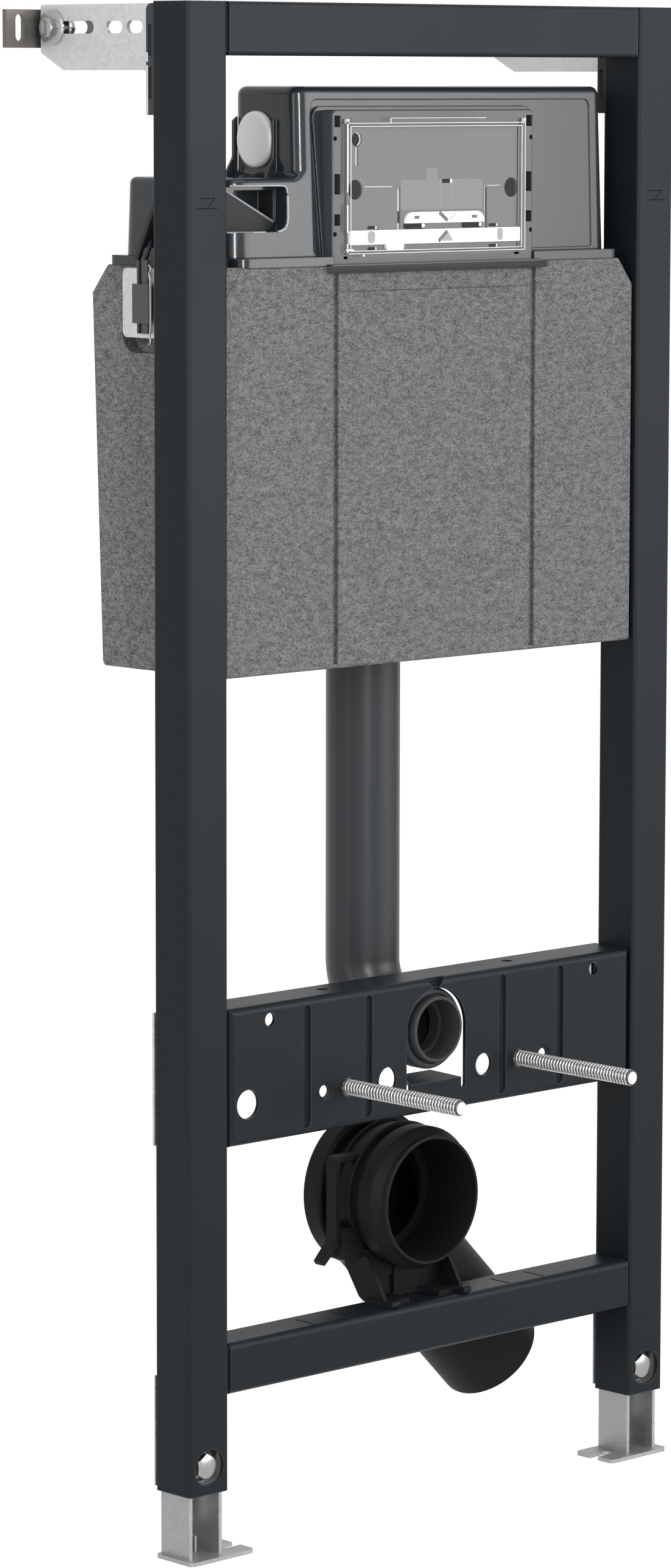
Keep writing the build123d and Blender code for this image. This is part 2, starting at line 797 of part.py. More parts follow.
def hanger_clip_left():
    """The ribbed rail behind the post, with the small plate that locks it."""
    x = -inner_half
    low = block_top - clip_below_block
    high = block_top + clip_above_block
    rail = block(x - clip_web, x, clip_front_rib_y, clip_rear_rib_y, low, high)
    rail += block(x - clip_rib_reach, x, clip_front_rib_y, clip_front_rib_y + clip_front_rib_width,
                  low, high)
    rail += block(x - clip_rib_reach, x, clip_rear_rib_y, clip_rear_rib_y + clip_rear_rib_width,
                  low, high)
    plate = block(x - clip_rib_reach - clip_plate_wall, x - clip_rib_reach, clip_plate_front,
                  clip_plate_rear, block_top - clip_plate_drops[1], block_top - clip_plate_drops[0])
    return rail + plate


def tank_rim():
    rim = level([(-rim_half, rim_front, rim_front_corner), (rim_half, rim_front, rim_rear_corner),
                 (rim_half, rim_rear, rim_rear_corner), (-rim_half, rim_rear, rim_rear_corner)],
                block_top, tank_base)
    return rim - block(-service_half, service_half, rim_front - 1, tank_front_low,
                       block_top - 1, tank_base + 1)


def tank_block():
    """The cistern's plain drafted block, before its steps and pockets are cut."""
    base = level([(-tank_half, tank_front_low, tank_boss_corner),
                  (tank_half, tank_front_low, tank_corner),
                  (tank_half, tank_low_rear, tank_corner),
                  (-tank_half, tank_low_rear, tank_corner)], tank_base, tank_base + 1)
    foot = base.faces().sort_by(Axis.Z)[0]
    return extrude(foot, tank_height, dir=(0, 0, 1), taper=tank_draft)


def tank_face_y(z):
    """Where the cistern's sloping front face stands at a height."""
    return tank_front_low + (z - tank_base) * math.tan(math.radians(tank_draft))


def service_plinth():
    """The low raised field round the service frame, on the cistern's front face."""
    head = service_top + plinth_above_frame
    field = facing([(-plinth_foot_half, tank_base), (plinth_foot_half, tank_base),
                    (plinth_head_half, head, plinth_corner), (-plinth_head_half, head, plinth_corner)],
                   tank_front_low - plinth_proud, tank_face_y(head) + 1)
    lean = math.tan(math.radians(tank_draft))
    front = tank_front_low - plinth_proud
    rear = tank_face_y(head) + 1
    rise = tank_top - tank_base
    return field & sideways([(front, tank_base), (rear, tank_base), (rear, tank_top),
                             (front + rise * lean, tank_top)],
                            -plinth_head_half - 1, plinth_head_half + 1)


def cistern_tank():
    step_z = tank_base + tank_low_height
    tank = tank_block()
    left = block(-tank_half - 1, tank_step_x, tank_front_low - 1, tank_low_rear + 1,
                 step_z, tank_top + 1)
    rear = block(tank_step_x - 1, tank_half + 1, tank_high_rear, tank_low_rear + 1,
                 step_z, tank_top + 1)
    tank = tank - left - rear
    tall = [e for e in tank.edges().filter_by(GeomType.LINE)
            if e.center().Z > step_z + 5 and abs(e.center().X - tank_step_x) < 4
            and abs(e.tangent_at(0.5).Z) > 0.9]
    tank = fillet(tall, tank_corner)
    foot = [e for e in tank.edges() if abs(e.center().Z - step_z) < 0.01
            and e.center().X > tank_step_x - 1
            and tank_front_low + 3 < e.center().Y < tank_high_rear + 1]
    tank = fillet(foot, step_foot_round)
    tank = fillet(tank.faces().sort_by(Axis.Z)[-1].edges(), tank_top_round)
    ledge = [f for f in tank.faces().filter_by(Axis.Z) if abs(f.center().Z - step_z) < 0.01]
    outer = [e for f in ledge for e in f.edges()
             if e.center().X < tank_step_x - 8 or e.center().Y > tank_high_rear + 8]
    tank = fillet(outer, ledge_round)
    slope = Plane(origin=(0, tank_face_y(step_z), step_z), x_dir=(1, 0, 0),
                  z_dir=(0, -math.cos(math.radians(tank_draft)), math.sin(math.radians(tank_draft))))
    face_high = tank_top - tank_top_round - step_z
    low = 2 - tank_low_height
    right = tank_half - panel_border - 4
    recess = extrude(slope * outline([
        (tank_step_x + panel_border, low, 3), (right, low, 3), (right, face_high - 3, 6),
        (tank_step_x + panel_border, face_high - 3, 6)]), -panel_recess)
    tank -= recess
    tank += service_plinth()
    tank -= block(-cavity_half, cavity_half, tank_front_low - plinth_proud - 1,
                  tank_front_low + cavity_depth,
                  tank_base + 3, service_top - 12)
    roof = tank_base + pocket_roof_rise
    floor = tank_base + pocket_floor_rise
    tank -= facing([(-tank_half - 1, floor), (-pocket_right, floor, pocket_corner),
                    (-pocket_right, roof, pocket_roof_corner), (-tank_half - 1, roof)],
                   tank_front_low - 1, tank_front_low + pocket_depth)
    tank -= facing([(-hollow_left, roof - 3, 2), (-pocket_right - 2, roof - 3, 2),
                    (-pocket_right - 2, tank_base + hollow_low_rise + 2, 2)],
                   tank_front_low, tank_front_low + pocket_depth + hollow_depth)
    tank -= sideways([(end_cut_front, tank_base + 6, 2), (end_cut_rear, tank_base + 6, 2),
                      (end_cut_rear - 12, tank_base + 32, 2), (end_cut_front, tank_base + 32, 2)],
                     -tank_half - 1, -tank_half + end_cut_depth)
    for y in fin_y:
        x = tank_step_x
        foot = step_z
        tank += facing([(x + 1, foot), (x - fin_reach, foot), (x - fin_reach, foot + 3),
                        (x - 3, foot + 14, 8), (x - 3, foot + fin_height - 3, 2),
                        (x + 1, foot + fin_height)], y - fin_wall / 2, y + fin_wall / 2)
    return tank


def inlet_plug():
    shape = Plane(origin=(tank_step_x, plug_y, tank_base + plug_rise), x_dir=(0, 1, 0),
                  z_dir=(-1, 0, 0)) * Ellipse(plug_width / 2, plug_height / 2)
    plug = extrude(shape, plug_proud)
    return fillet(plug.faces().sort_by(Axis.X)[0].edges(), plug_round)


def service_frame():
    cover_top = service_top - cover_margin
    cover_bottom = cover_top - cover_height
    window_low = cover_bottom + window_below_cover
    window_high = cover_top - window_below_cover
    outer = facing([(-service_half, block_top), (service_half, block_top),
                    (service_half, service_top, service_corner),
                    (-service_half, service_top, service_corner)],
                   service_front, service_front + service_skirt)
    front_edges = outer.faces().sort_by(Axis.Y)[0].edges().filter_by(
        lambda e: e.center().Z > block_top + 1)
    outer = fillet(front_edges, service_edge_round)
    outer -= block(-window_half, window_half, service_front - 1, service_front + service_ledge_depth,
                   window_low, window_high)
    ledge = window_half - cavity_half
    outer -= block(-cavity_half, cavity_half, service_front, service_front + service_skirt + 1,
                   window_low + ledge, window_high - ledge)
    outer -= tank_block() + service_plinth()
    behind = block(-service_half - 1, service_half + 1, tank_front_low, tank_front_low + 30,
                   block_top - 1, tank_base)
    outer -= behind
    for side in (-1, 1):
        for low, high in strip_hole_spans:
            outer -= block(side * strip_hole_x - strip_hole_width / 2,
                           side * strip_hole_x + strip_hole_width / 2,
                           service_front - 1, service_front + strip_hole_depth,
                           tank_base + low, tank_base + high)
        for rise in strip_round_rises:
            outer -= rod((side * strip_round_x, service_front - 1, tank_base + rise), (0, 1, 0),
                         strip_round_diameter / 2, strip_hole_depth + 1)
    lip = sideways([(lip_front, block_top - lip_height, lip_round), (block_front, block_top - lip_height),
                    (block_front, block_top + 1.5), (lip_front, block_top + 1.5, 1)],
                   -lip_half, lip_half)
    bridge = block(-service_half, service_half, block_front, service_front, block_top,
                   block_top + 1.5)
    return outer + lip + bridge


def service_cover():
    high = service_top - cover_margin
    low = high - cover_height
    rim_back = service_front
    cover = facing([(-cover_half, low, 2), (cover_half, low, 2), (cover_half, high, 2),
                    (-cover_half, high, 2)], cover_front, rim_back)
    cover -= block(-cover_half + cover_side_border, cover_half - cover_side_border,
                   cover_front + cover_pane, rim_back + 1, low + cover_end_border,
                   high - cover_end_border)
    top = high + cover_tab_height
    tab = facing([(-cover_tab_half, high - 1), (cover_tab_half, high - 1),
                  (cover_tab_half, top, 1.5), (-cover_tab_half, top, 1.5)],
                 cover_tab_front, cover_front + cover_pane)
    strip = block(-cover_strip_half, cover_strip_half, cover_tab_front, cover_front + cover_pane,
                  low - cover_strip_height, low + 1)
    return cover + tab + strip


def service_panel():
    high = service_top - cover_margin - window_below_cover
    low = service_top - cover_margin - cover_height + window_below_cover
    front = service_front + service_ledge_depth - panel_thickness
    back = service_front + service_ledge_depth
    panel = block(-window_half, window_half, front, back, low, high)

    def hole(x, rise, diameter):
        return rod((x, front - 1, tank_base + rise), (0, 1, 0), diameter / 2, panel_thickness + 2)

    panel -= hole(keyhole_x, keyhole_rise, keyhole_diameter)
    panel -= block(keyhole_x - keyslot_width / 2, keyhole_x + keyslot_width / 2, front - 1, back + 1,
                   tank_base + keyslot_end_rise, tank_base + keyhole_rise)
    for side in (-1, 1):
        panel -= hole(side * panel_hole_x, panel_hole_rise, panel_hole_diameter)
        for rise in lever_slot_rises:
            centre = (side * lever_slot_x, front - 1, tank_base + rise)
            panel -= slot_bar(centre, (0, 1, 0), (1, 0, 0), lever_slot_length, lever_slot_width,
                              panel_thickness + 2)
    for x in panel_slot_x:
        panel -= block(x - panel_slot_width / 2, x + panel_slot_width / 2, front - 1, back + 1,
                       tank_base + panel_slot_rises[0], tank_base + panel_slot_rises[1])
    return panel


def lever_plate():
    """The white plate behind the panel, seen through its two upright slots."""
    back = service_front + service_ledge_depth
    return block(lever_plate_spans[0], lever_plate_spans[1], back, back + lever_plate_wall,
                 tank_base + lever_plate_rises[0], tank_base + lever_plate_rises[1])


def flush_bar():
    back = service_front + service_ledge_depth - panel_thickness
    low = tank_base + bar_rise
    bar = facing([(-bar_half, low, 1), (bar_half, low, 1), (bar_half, low + bar_height, 1),
                  (-bar_half, low + bar_height, 1)], bar_front, back)
    tab = facing([(bar_tab_x[0], low - bar_tab_drop, 2.5), (bar_tab_x[1], low - bar_tab_drop, 2.5),
                  (bar_tab_x[1], low), (bar_tab_x[0], low)], bar_front, back)
    return bar + tab


def flush_bridge():
    back = service_front + service_ledge_depth - panel_thickness
    low = tank_base + bridge_rise
    x0 = bridge_middle_x - bridge_half
    x1 = bridge_middle_x + bridge_half
    return facing([(x0, low), (x1, low), (x1, low + bridge_height, bridge_corner),
                   (x0, low + bridge_height, bridge_corner)], bar_front, back)


def flush_pipe():
    start = (0, flush_pipe_y, block_bottom + flush_pipe_sunk)
    end_y = flush_lip_front + flush_socket_length
    path = FilletPolyline(start, (0, flush_pipe_y, flush_height), (0, end_y, flush_height),
                          radius=flush_bend_radius)
    plane = Plane(origin=start, z_dir=(0, 0, -1))
    outer = sweep(plane * Circle(flush_pipe_diameter / 2), path=path)
    inner = sweep(plane * Circle(flush_pipe_diameter / 2 - flush_pipe_wall), path=path)
    return outer - inner


def flush_socket():
    collar = flush_collar_diameter / 2
    lip = flush_lip_diameter / 2
    bore = flush_bore_diameter / 2
    seat = flush_seat_diameter / 2
    front = flush_lip_front
    step = front + flush_lip_length
    back = front + flush_socket_length
    pipe_out = flush_pipe_diameter / 2
    return turned([(bore, front), (lip, front, 1), (lip, step + flush_groove_depth),
                   (lip + flush_groove_width, step + flush_groove_depth),
                   (lip + flush_groove_width, step),
                   (collar, step, flush_collar_round - 0.1),
                   (collar, step + flush_collar_length, 1.5),
                   (pipe_out, step + flush_collar_length), (pipe_out, back),
                   (seat, back), (seat, front + flush_bore_length),
                   (bore, front + flush_bore_length)], (0, 0, flush_height))


def waste_bend():
    slope = (math.cos(outlet_turn), 0, -math.sin(outlet_turn))
    far = (outlet_run, outlet_y, waste_height - outlet_run * math.tan(outlet_turn))
    joint = tuple(far[i] - slope[i] * outlet_spigot_length for i in range(3))
    start = (0, waste_front + waste_bore_depth - bend_into_socket, waste_height)
    path = FilletPolyline(start, (0, outlet_y, waste_height), joint, radius=outlet_bend_radius)
    plane = Plane(origin=start, z_dir=(0, 1, 0))
    outer = sweep(plane * Circle(outlet_diameter / 2), path=path)
    spigot = rod(joint, slope, outlet_spigot_diameter / 2, outlet_spigot_length)
    rim = spigot.edges().filter_by(GeomType.CIRCLE).sort_by(Axis.X)[-1]
    spigot = chamfer(rim, outlet_spigot_chamfer)
    whole = FilletPolyline(start, (0, outlet_y, waste_height), far, radius=outlet_bend_radius)
    inner = sweep(plane * Circle(outlet_diameter / 2 - outlet_wall), path=whole)
    lip = waste_lip_diameter / 2
    band = waste_band_diameter / 2
    body = waste_body_diameter / 2
    collar = waste_collar_diameter / 2
    socket = turned([(0, waste_front), (lip, waste_front, 1), (lip, waste_front + waste_lip_length),
                     (band, waste_band_front, 2), (band, waste_band_rear, 1), (body, waste_band_rear),
                     (body, waste_collar_front), (collar, waste_collar_front, waste_collar_round),
                     (collar, waste_collar_rear, waste_collar_round), (0, waste_collar_rear)],
                    (0, 0, waste_height))
    bore = rod((0, waste_front - 1, waste_height), (0, 1, 0), waste_bore_diameter / 2,
               waste_bore_depth + 1)
    return socket + outer + spigot - bore - inner


def waste_strap():
    """The half ring over the bend's socket, with raised edges."""
    inner = waste_body_diameter / 2
    ring = turned([(inner, strap_front), (inner + strap_rib_wall, strap_front, 1),
                   (inner + strap_rib_wall, strap_front + strap_rib_width, 1),
                   (inner + strap_band_wall, strap_front + strap_rib_width),
                   (inner + strap_band_wall, strap_rear - strap_rib_width),
                   (inner + strap_rib_wall, strap_rear - strap_rib_width, 1),
                   (inner + strap_rib_wall, strap_rear, 1), (inner, strap_rear)],
                  (0, 0, waste_height))
    return ring - block(-100, 100, 0, 100, waste_height - 100, waste_height - strap_split_drop)


def strap_lever():
    """The hooked lever that tightens the strap on its left side."""
    half = lever_wall / 2
    top = waste_height + lever_rise
    low = waste_height - lever_drop
    x = lever_out_x
    lever = facing([(lever_root_x + 14, top + half), (x - half, top + half, lever_bend),
                    (x - half, low, 3), (x - half - lever_tip_out, low - lever_tip_drop),
                    (x - half - lever_tip_out + 2, low - lever_tip_drop - 3),
                    (x + half, low - 3, 3), (x + half, top - half, 2),
                    (lever_root_x + 14, top - half)],
                   lever_y - lever_width / 2, lever_y + lever_width / 2)
    return lever - rod((0, 0, waste_height), (0, 1, 0),
                       waste_body_diameter / 2 + strap_band_wall, tube_side * 2)


def waste_cradle():
    radius = waste_body_diameter / 2
    z0 = lower_bar_top
    outer = radius + cradle_leg_wall
    saddle = turned([(radius, strap_front), (outer, strap_front, 1), (outer, cradle_rear, 1),
                     (radius, cradle_rear)], (0, 0, waste_height))
    saddle -= block(-100, 100, 0, 100, waste_height - strap_split_drop - moving_gap, waste_height + 100)
    cut = rod((0, 0, waste_height), (0, 1, 0), radius, 100)
    shoulder = waste_height - math.sqrt(outer ** 2 - (cradle_leg_half - cradle_leg_wall) ** 2) + 1
    leg = sideways([(cradle_foot_front, z0), (strap_front - 6, shoulder - 6, 6),
                    (strap_front, shoulder), (cradle_rear, shoulder),
                    (cradle_rear, shoulder - 14, 4), (cradle_foot_rear + 5, z0 + 3, 4),
                    (cradle_foot_rear, z0)], -cradle_leg_half, -cradle_leg_half + cradle_leg_wall)
    inside = cradle_leg_half - 1
    web = block(-inside, inside, cradle_web_y, strap_front + cradle_web_wall, z0 + cradle_foot_gap,
                shoulder)
    web += block(-cradle_panel_half, cradle_panel_half, cradle_web_y - cradle_web_wall,
                 cradle_web_y, z0 + cradle_foot_gap, shoulder)
    web += block(-inside, -cradle_panel_half, cradle_web_y - cradle_web_wall / 2, cradle_web_y,
                 z0 + cradle_step_rise, shoulder)
    cradle = saddle + leg
    cradle = cradle + mirrored(leg)
    cradle = cradle + web - cut
    latch_high = waste_height - strap_split_drop - latch_below_split
    latch = facing([(lever_out_x + lever_wall / 2, latch_high - latch_height, 3),
                    (-radius + 10, latch_high - latch_height), (-radius + 10, latch_high),
                    (lever_out_x + lever_wall / 2, latch_high, 3)],
                   lever_y - lever_width / 2 - 3, lever_y + lever_width / 2 + 3)
    latch -= block(lever_out_x, lever_out_x + 7, lever_y - 2, lever_y + 2,
                   latch_high - latch_height + 6, latch_high - 6)
    latch -= rod((0, 0, waste_height), (0, 1, 0), radius + 1, 100)
    cradle = cradle + latch
    for x0, x1, y0, y1 in cradle_tabs:
        cradle += block(x0, x1, y0, y1, z0, z0 + cradle_tab_wall)
    roll = cradle_hook_diameter
    hook_rear = cradle_foot_front + 2
    for x0, x1 in cradle_hooks:
        cradle += sideways([(cradle_hook_front, z0, roll / 2.1), (cradle_hook_front, z0 + roll, roll / 2.1),
                            (cradle_hook_front + roll, z0 + roll, roll / 3),
                            (cradle_hook_front + roll, z0 + cradle_tab_wall - 0.4),
                            (hook_rear, z0 + cradle_tab_wall - 0.4), (hook_rear, z0)], x0, x1)
    return cradle


sided = {
    "post": post_left,
    "plate_strap": plate_strap_left,
    "pan_stud": stud_left,
    "foot": foot_left,
    "clamp_bolt": clamp_bolt_left,
    "back_plate": back_plate_left,
    "hanger_panel": hanger_panel_left,
    "hanger_clip": hanger_clip_left,
}
repeated = {
    "bracket_carrier": bracket_carrier_left,
    "wall_bracket": wall_bracket_left,
    "wall_bolt": wall_bolt_left,
    "wall_angle": wall_angle_left,
}
single = {
    "top_bar": top_bar,
    "lower_bar": lower_bar,
    "mounting_plate": mounting_plate,
    "insulation_shell": insulation_shell,
    "tank_rim": tank_rim,
    "cistern_tank": cistern_tank,
    "inlet_plug": inlet_plug,
    "service_frame": service_frame,
    "service_cover": service_cover,
    "service_panel": service_panel,
    "lever_plate": lever_plate,
    "flush_bar": flush_bar,
    "flush_bridge": flush_bridge,
    "flush_pipe": flush_pipe,
    "flush_socket": flush_socket,
    "waste_bend": waste_bend,
    "waste_strap": waste_strap,
    "strap_lever": strap_lever,
    "waste_cradle": waste_cradle,
}


def all_nodes():
    nodes = {}
    for name, make in sided.items():
        nodes[name + "_left"] = make()
        nodes[name + "_right"] = mirrored(nodes[name + "_left"])
    for name, make in repeated.items():
        nodes[name + "_left"] = make()
        nodes[name + "_right"] = Pos(bracket_pitch, 0, 0) * nodes[name + "_left"]
    for name, make in single.items():
        nodes[name] = make()
    return nodes


os.makedirs("parts", exist_ok=True)
to_part_frame = Pos(-origin_x, -origin_y, -origin_z)
for node, solid in all_nodes().items():
    export_step(to_part_frame * solid, "parts/" + node + ".step")
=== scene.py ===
import math

import bmesh
import bpy
from mathutils import Matrix, Vector


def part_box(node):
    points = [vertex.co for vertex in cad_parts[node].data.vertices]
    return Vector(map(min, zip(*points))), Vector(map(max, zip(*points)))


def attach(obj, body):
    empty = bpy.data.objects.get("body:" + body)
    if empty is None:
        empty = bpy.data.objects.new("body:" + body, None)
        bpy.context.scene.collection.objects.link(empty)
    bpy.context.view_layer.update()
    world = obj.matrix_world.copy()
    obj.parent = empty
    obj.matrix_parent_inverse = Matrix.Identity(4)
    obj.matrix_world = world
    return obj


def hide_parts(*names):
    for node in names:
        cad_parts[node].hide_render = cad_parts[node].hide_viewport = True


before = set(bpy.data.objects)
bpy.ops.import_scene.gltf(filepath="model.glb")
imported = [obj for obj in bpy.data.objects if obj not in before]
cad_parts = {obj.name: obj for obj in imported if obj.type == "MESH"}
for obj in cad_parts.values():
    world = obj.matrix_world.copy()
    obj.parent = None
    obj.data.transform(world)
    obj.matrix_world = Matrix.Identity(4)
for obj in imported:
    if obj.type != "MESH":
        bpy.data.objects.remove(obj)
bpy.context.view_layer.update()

bl_info = {
    "name": "Wall Hung Toilet Frame",
    "version": (1, 0, 0),
    "blender": (4, 5, 0),
    "location": "3D View > Sidebar > Toilet Frame",
    "description": "Finishes and details for a steel installation frame with its concealed cistern",
    "category": "Object",
}

# The frame's own axes are in metres: X along the wall, Y back to the wall, Z up.
# Drawn millimetres count from the frame's middle, its front plane and the floor.
MIDDLE_X = 250.0
FRONT_Y = 170.0
FLOOR_Z = 1107.0
MM = 0.001

RIGHTWARD = (1, 0, 0)
BACKWARD = (0, 1, 0)
UPWARD = (0, 0, 1)
SIDES = (("left", -1), ("right", 1))


def at(x, y, z):
    """A point given in drawn millimetres, in metres."""
    return Vector(((x + MIDDLE_X) * MM, (y - FRONT_Y) * MM, (z - FLOOR_Z) * MM))


def drawn_box(node_name):
    """The low and the high corner of a CAD node in drawn millimetres."""
    return [(point.x / MM - MIDDLE_X, point.y / MM + FRONT_Y, point.z / MM + FLOOR_Z)
            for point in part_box(node_name)]


def linear(red, green, blue):
    """A colour written as 0 to 255 screen values, as the shader's own values."""
    def one(value):
        value /= 255
        return value / 12.92 if value <= 0.04045 else ((value + 0.055) / 1.055) ** 2.4
    return (one(red), one(green), one(blue), 1.0)


def shade(colour, gain, lift=0.0):
    """A colour made lighter or darker."""
    return tuple(min(1.0, part * gain + lift) for part in colour[:3]) + (1.0,)


def tint(name, description, *screen_values):
    return bpy.props.FloatVectorProperty(
        name=name, description=description, subtype="COLOR", size=4, min=0.0, max=1.0,
        default=linear(*screen_values))


def number(name, description, default, least=0.0, **more):
    return bpy.props.FloatProperty(
        name=name, description=description, default=default, min=least, **more)


def in_degrees(name, description, degrees):
    return number(name, description, math.radians(degrees), -math.pi, subtype="ANGLE")


class FinishColours(bpy.types.PropertyGroup):
    """Colours of the frame's finishes."""

    powder_coat: tint("Powder coat", "Paint on the posts, bars and plate", 20, 25, 29)
    galvanised: tint("Galvanised steel", "Brackets, sheets and back plates", 192, 193, 194)
    angle_zinc: tint("Angle zinc", "Dull zinc of the wall angles", 104, 101, 98)
    foot_zinc: tint("Foot zinc", "Duller zinc of the feet", 156, 157, 158)
    zinc: tint("Bright zinc", "Bolts, nuts and springs", 158, 158, 157)
    foam: tint("Insulation foam", "Block round the cistern", 100, 100, 101)
    tank: tint("Cistern plastic", "Blow-moulded cistern", 42, 46, 49)
    service: tint("Opening frame", "Raised frame of the service opening", 62, 65, 68)
    panel: tint("Inner panel", "Panel behind the clear cover", 103, 103, 103)
    lever: tint("Lever plastic", "Flush levers behind the cover", 236, 238, 238)
    plug: tint("Inlet plug", "Plug on the cistern's side", 214, 214, 213)
    pipe: tint("Pipe plastic", "Flush pipe", 44, 47, 50)
    fitting: tint("Fitting plastic", "Flush socket and bracket carriers", 56, 57, 59)
    bend: tint("Bend plastic", "Waste bend with its strap and cradle", 23, 24, 26)
    clip: tint("Clip paint", "Rails and plates that lock the cistern", 72, 73, 75)
    mark: tint("Mark print", "Fine level marks on the posts", 8, 9, 10)


class StudioSettings(bpy.types.PropertyGroup):
    """Camera and lights of the studio."""

    focal_length: number(
        "Focal length", "Camera focal length in millimetres on a 36 mm sensor", 126.47, 10.0,
        unit="CAMERA", max=400.0)
    heading: in_degrees("Heading", "From straight back towards the right", 43.645)
    pitch: in_degrees("Pitch", "Downward angle of the view", 7.263)
    roll: in_degrees("Roll", "Turn of the picture about the line of sight", 0.086)
    camera_place: bpy.props.FloatVectorProperty(
        name="Camera place", description="Where the camera stands", subtype="TRANSLATION",
        unit="LENGTH", default=(-2.6134, -3.0613, -0.0376))
    key_power: number("Key light", "Lamp at the front right", 60.0, unit="POWER")
    card_power: number("Front card", "Lamp that only glossy faces reflect", 45.0, unit="POWER")
    fill_power: number("Fill light", "Lamp at the left", 62.0, unit="POWER")
    strip_power: number("Strip light", "Narrow lamp beside the camera", 24.0, unit="POWER")
    top_power: number("Top light", "Lamp overhead", 30.0, unit="POWER")
    world_strength: number("Room light", "Even light from all around", 0.52)


class FastenerSizes(bpy.types.PropertyGroup):
    """Sizes of the studs' threads and of the printed marks."""

    stud_radius: number(
        "Stud radius", "Outer radius of the pan studs' thread", 0.006, 0.001, unit="LENGTH")
    thread_pitch: number(
        "Thread pitch", "From one thread crest to the next", 0.00305, 0.0005, unit="LENGTH")
    thread_depth: number("Thread depth", "Depth of the thread's groove", 0.0008, unit="LENGTH")
    mark_line: number("Mark line", "Width of the level marks", 0.0008, 0.0001, unit="LENGTH")


# From one node of a tree to the next, in the editor's units
NODE_WIDTH = 180
# Sockets of a mix node that mixes colours
MIX_FIRST = 6
MIX_SECOND = 7
MIX_RESULT = 2


class NodeTree:
    """Short calls for placing and joining shader nodes."""

    def __init__(self, tree):
        self.tree = tree
        self.column = 0

    def add(self, kind, settings=None, **inputs):
        node = self.tree.nodes.new(kind)
        self.column += 1
        node.location.x = self.column * NODE_WIDTH
        for name, value in (settings or {}).items():
            setattr(node, name, value)
        for name, value in inputs.items():
            self.feed(node, name, value)
        return node

    def join(self, socket, value):
        """Links an input to another node's output, or sets it to a value."""
        if isinstance(value, bpy.types.NodeSocket):
            self.tree.links.new(value, socket)
        else:
            socket.default_value = value

    def feed(self, node, name, value):
        sockets = [s for s in node.inputs if s.name == name and s.enabled]
        self.join(sockets[0] if sockets else node.inputs[name], value)

    def maths(self, operation, first, second=0.0, third=0.0):
        node = self.add("ShaderNodeMath", {"operation": operation})
        for socket, value in zip(node.inputs, (first, second, third)):
            self.join(socket, value)
        return node.outputs[0]

    def weighted(self, first, second, share):
        """The first value by its share, and the second by the rest."""
        rest = self.maths("MULTIPLY", second, 1.0 - share)
        return self.maths("MULTIPLY_ADD", first, share, rest)

    def mix(self, factor, first, second, blend="MIX"):
        node = self.add("ShaderNodeMix", {"data_type": "RGBA", "blend_type": blend})
        self.join(node.inputs["Factor"], factor)
        self.join(node.inputs[MIX_FIRST], first)
        self.join(node.inputs[MIX_SECOND], second)
        return node.outputs[MIX_RESULT]

    def place(self):
        """The object's own coordinates, in metres."""
        return self.add("ShaderNodeTexCoord").outputs["Object"]

    def noise(self, place, scale, detail):
        noise = self.add("ShaderNodeTexNoise", Vector=place, Scale=scale, Detail=detail)
        return noise.outputs["Fac"]

    def relief(self, shader, height, strength, depth, normal=None):
        """Gives a shader the small relief of a height."""
        bump = self.add("ShaderNodeBump", Strength=strength, Distance=depth, Height=height)
        if normal:
            self.feed(bump, "Normal", normal)
        self.feed(shader, "Normal", bump.outputs[0])

    def seen_by_eye(self):
        """1 on rays from the camera, also by way of a glossy or a clear face, and 0 on others."""
        rays = self.add("ShaderNodeLightPath").outputs
        seen = self.maths("MAXIMUM", rays["Is Camera Ray"], rays["Is Glossy Ray"])
        return self.maths("MAXIMUM", seen, rays["Is Transmission Ray"])


def new_group(name, inputs, outputs):
    """The nodes of a new shader group with named sockets, its inputs and its end node."""
    group = bpy.data.node_groups.new(name, "ShaderNodeTree")
    for socket_name, kind, default in inputs:
        socket = group.interface.new_socket(socket_name, in_out="INPUT", socket_type=kind)
        socket.default_value = default
    for socket_name, kind in outputs:
        group.interface.new_socket(socket_name, in_out="OUTPUT", socket_type=kind)
    graph = NodeTree(group)
    return graph, graph.add("NodeGroupInput").outputs, graph.add("NodeGroupOutput")


COLOUR = "NodeSocketColor"
NUMBER = "NodeSocketFloat"
GRAIN = "Fine grain"
# Group name of the edge mask, which paints rubbed wear and painted highlight
RUB_AND_HIGHLIGHT = "Edge rub"


def grain_group():
    """Fine surface grain: a height, and a tone that shifts a colour a little."""
    fine_share = 0.45
    tone_gain = 4.0
    graph, start, end = new_group(
        GRAIN,
        [("Colour", COLOUR, (0.5, 0.5, 0.5, 1)), ("Scale", NUMBER, 900.0), ("Tone", NUMBER, 0.08)],
        [("Colour", COLOUR), ("Height", NUMBER), ("Mask", NUMBER)])
    place = graph.place()
    fine = graph.noise(place, scale=start["Scale"], detail=2.0)
    broad = graph.noise(place, scale=9.0, detail=3.0)
    shift = graph.maths("SUBTRACT", graph.weighted(fine, broad, fine_share), 0.5)
    swing = graph.maths("MULTIPLY", start["Tone"], tone_gain)
    gain = graph.maths("MULTIPLY_ADD", shift, swing, 1.0)
    grey = graph.add("ShaderNodeCombineColor", Red=gain, Green=gain, Blue=gain).outputs[0]
    graph.feed(end, "Colour", graph.mix(1.0, start["Colour"], grey, "MULTIPLY"))
    graph.feed(end, "Height", fine)
    graph.feed(end, "Mask", broad)


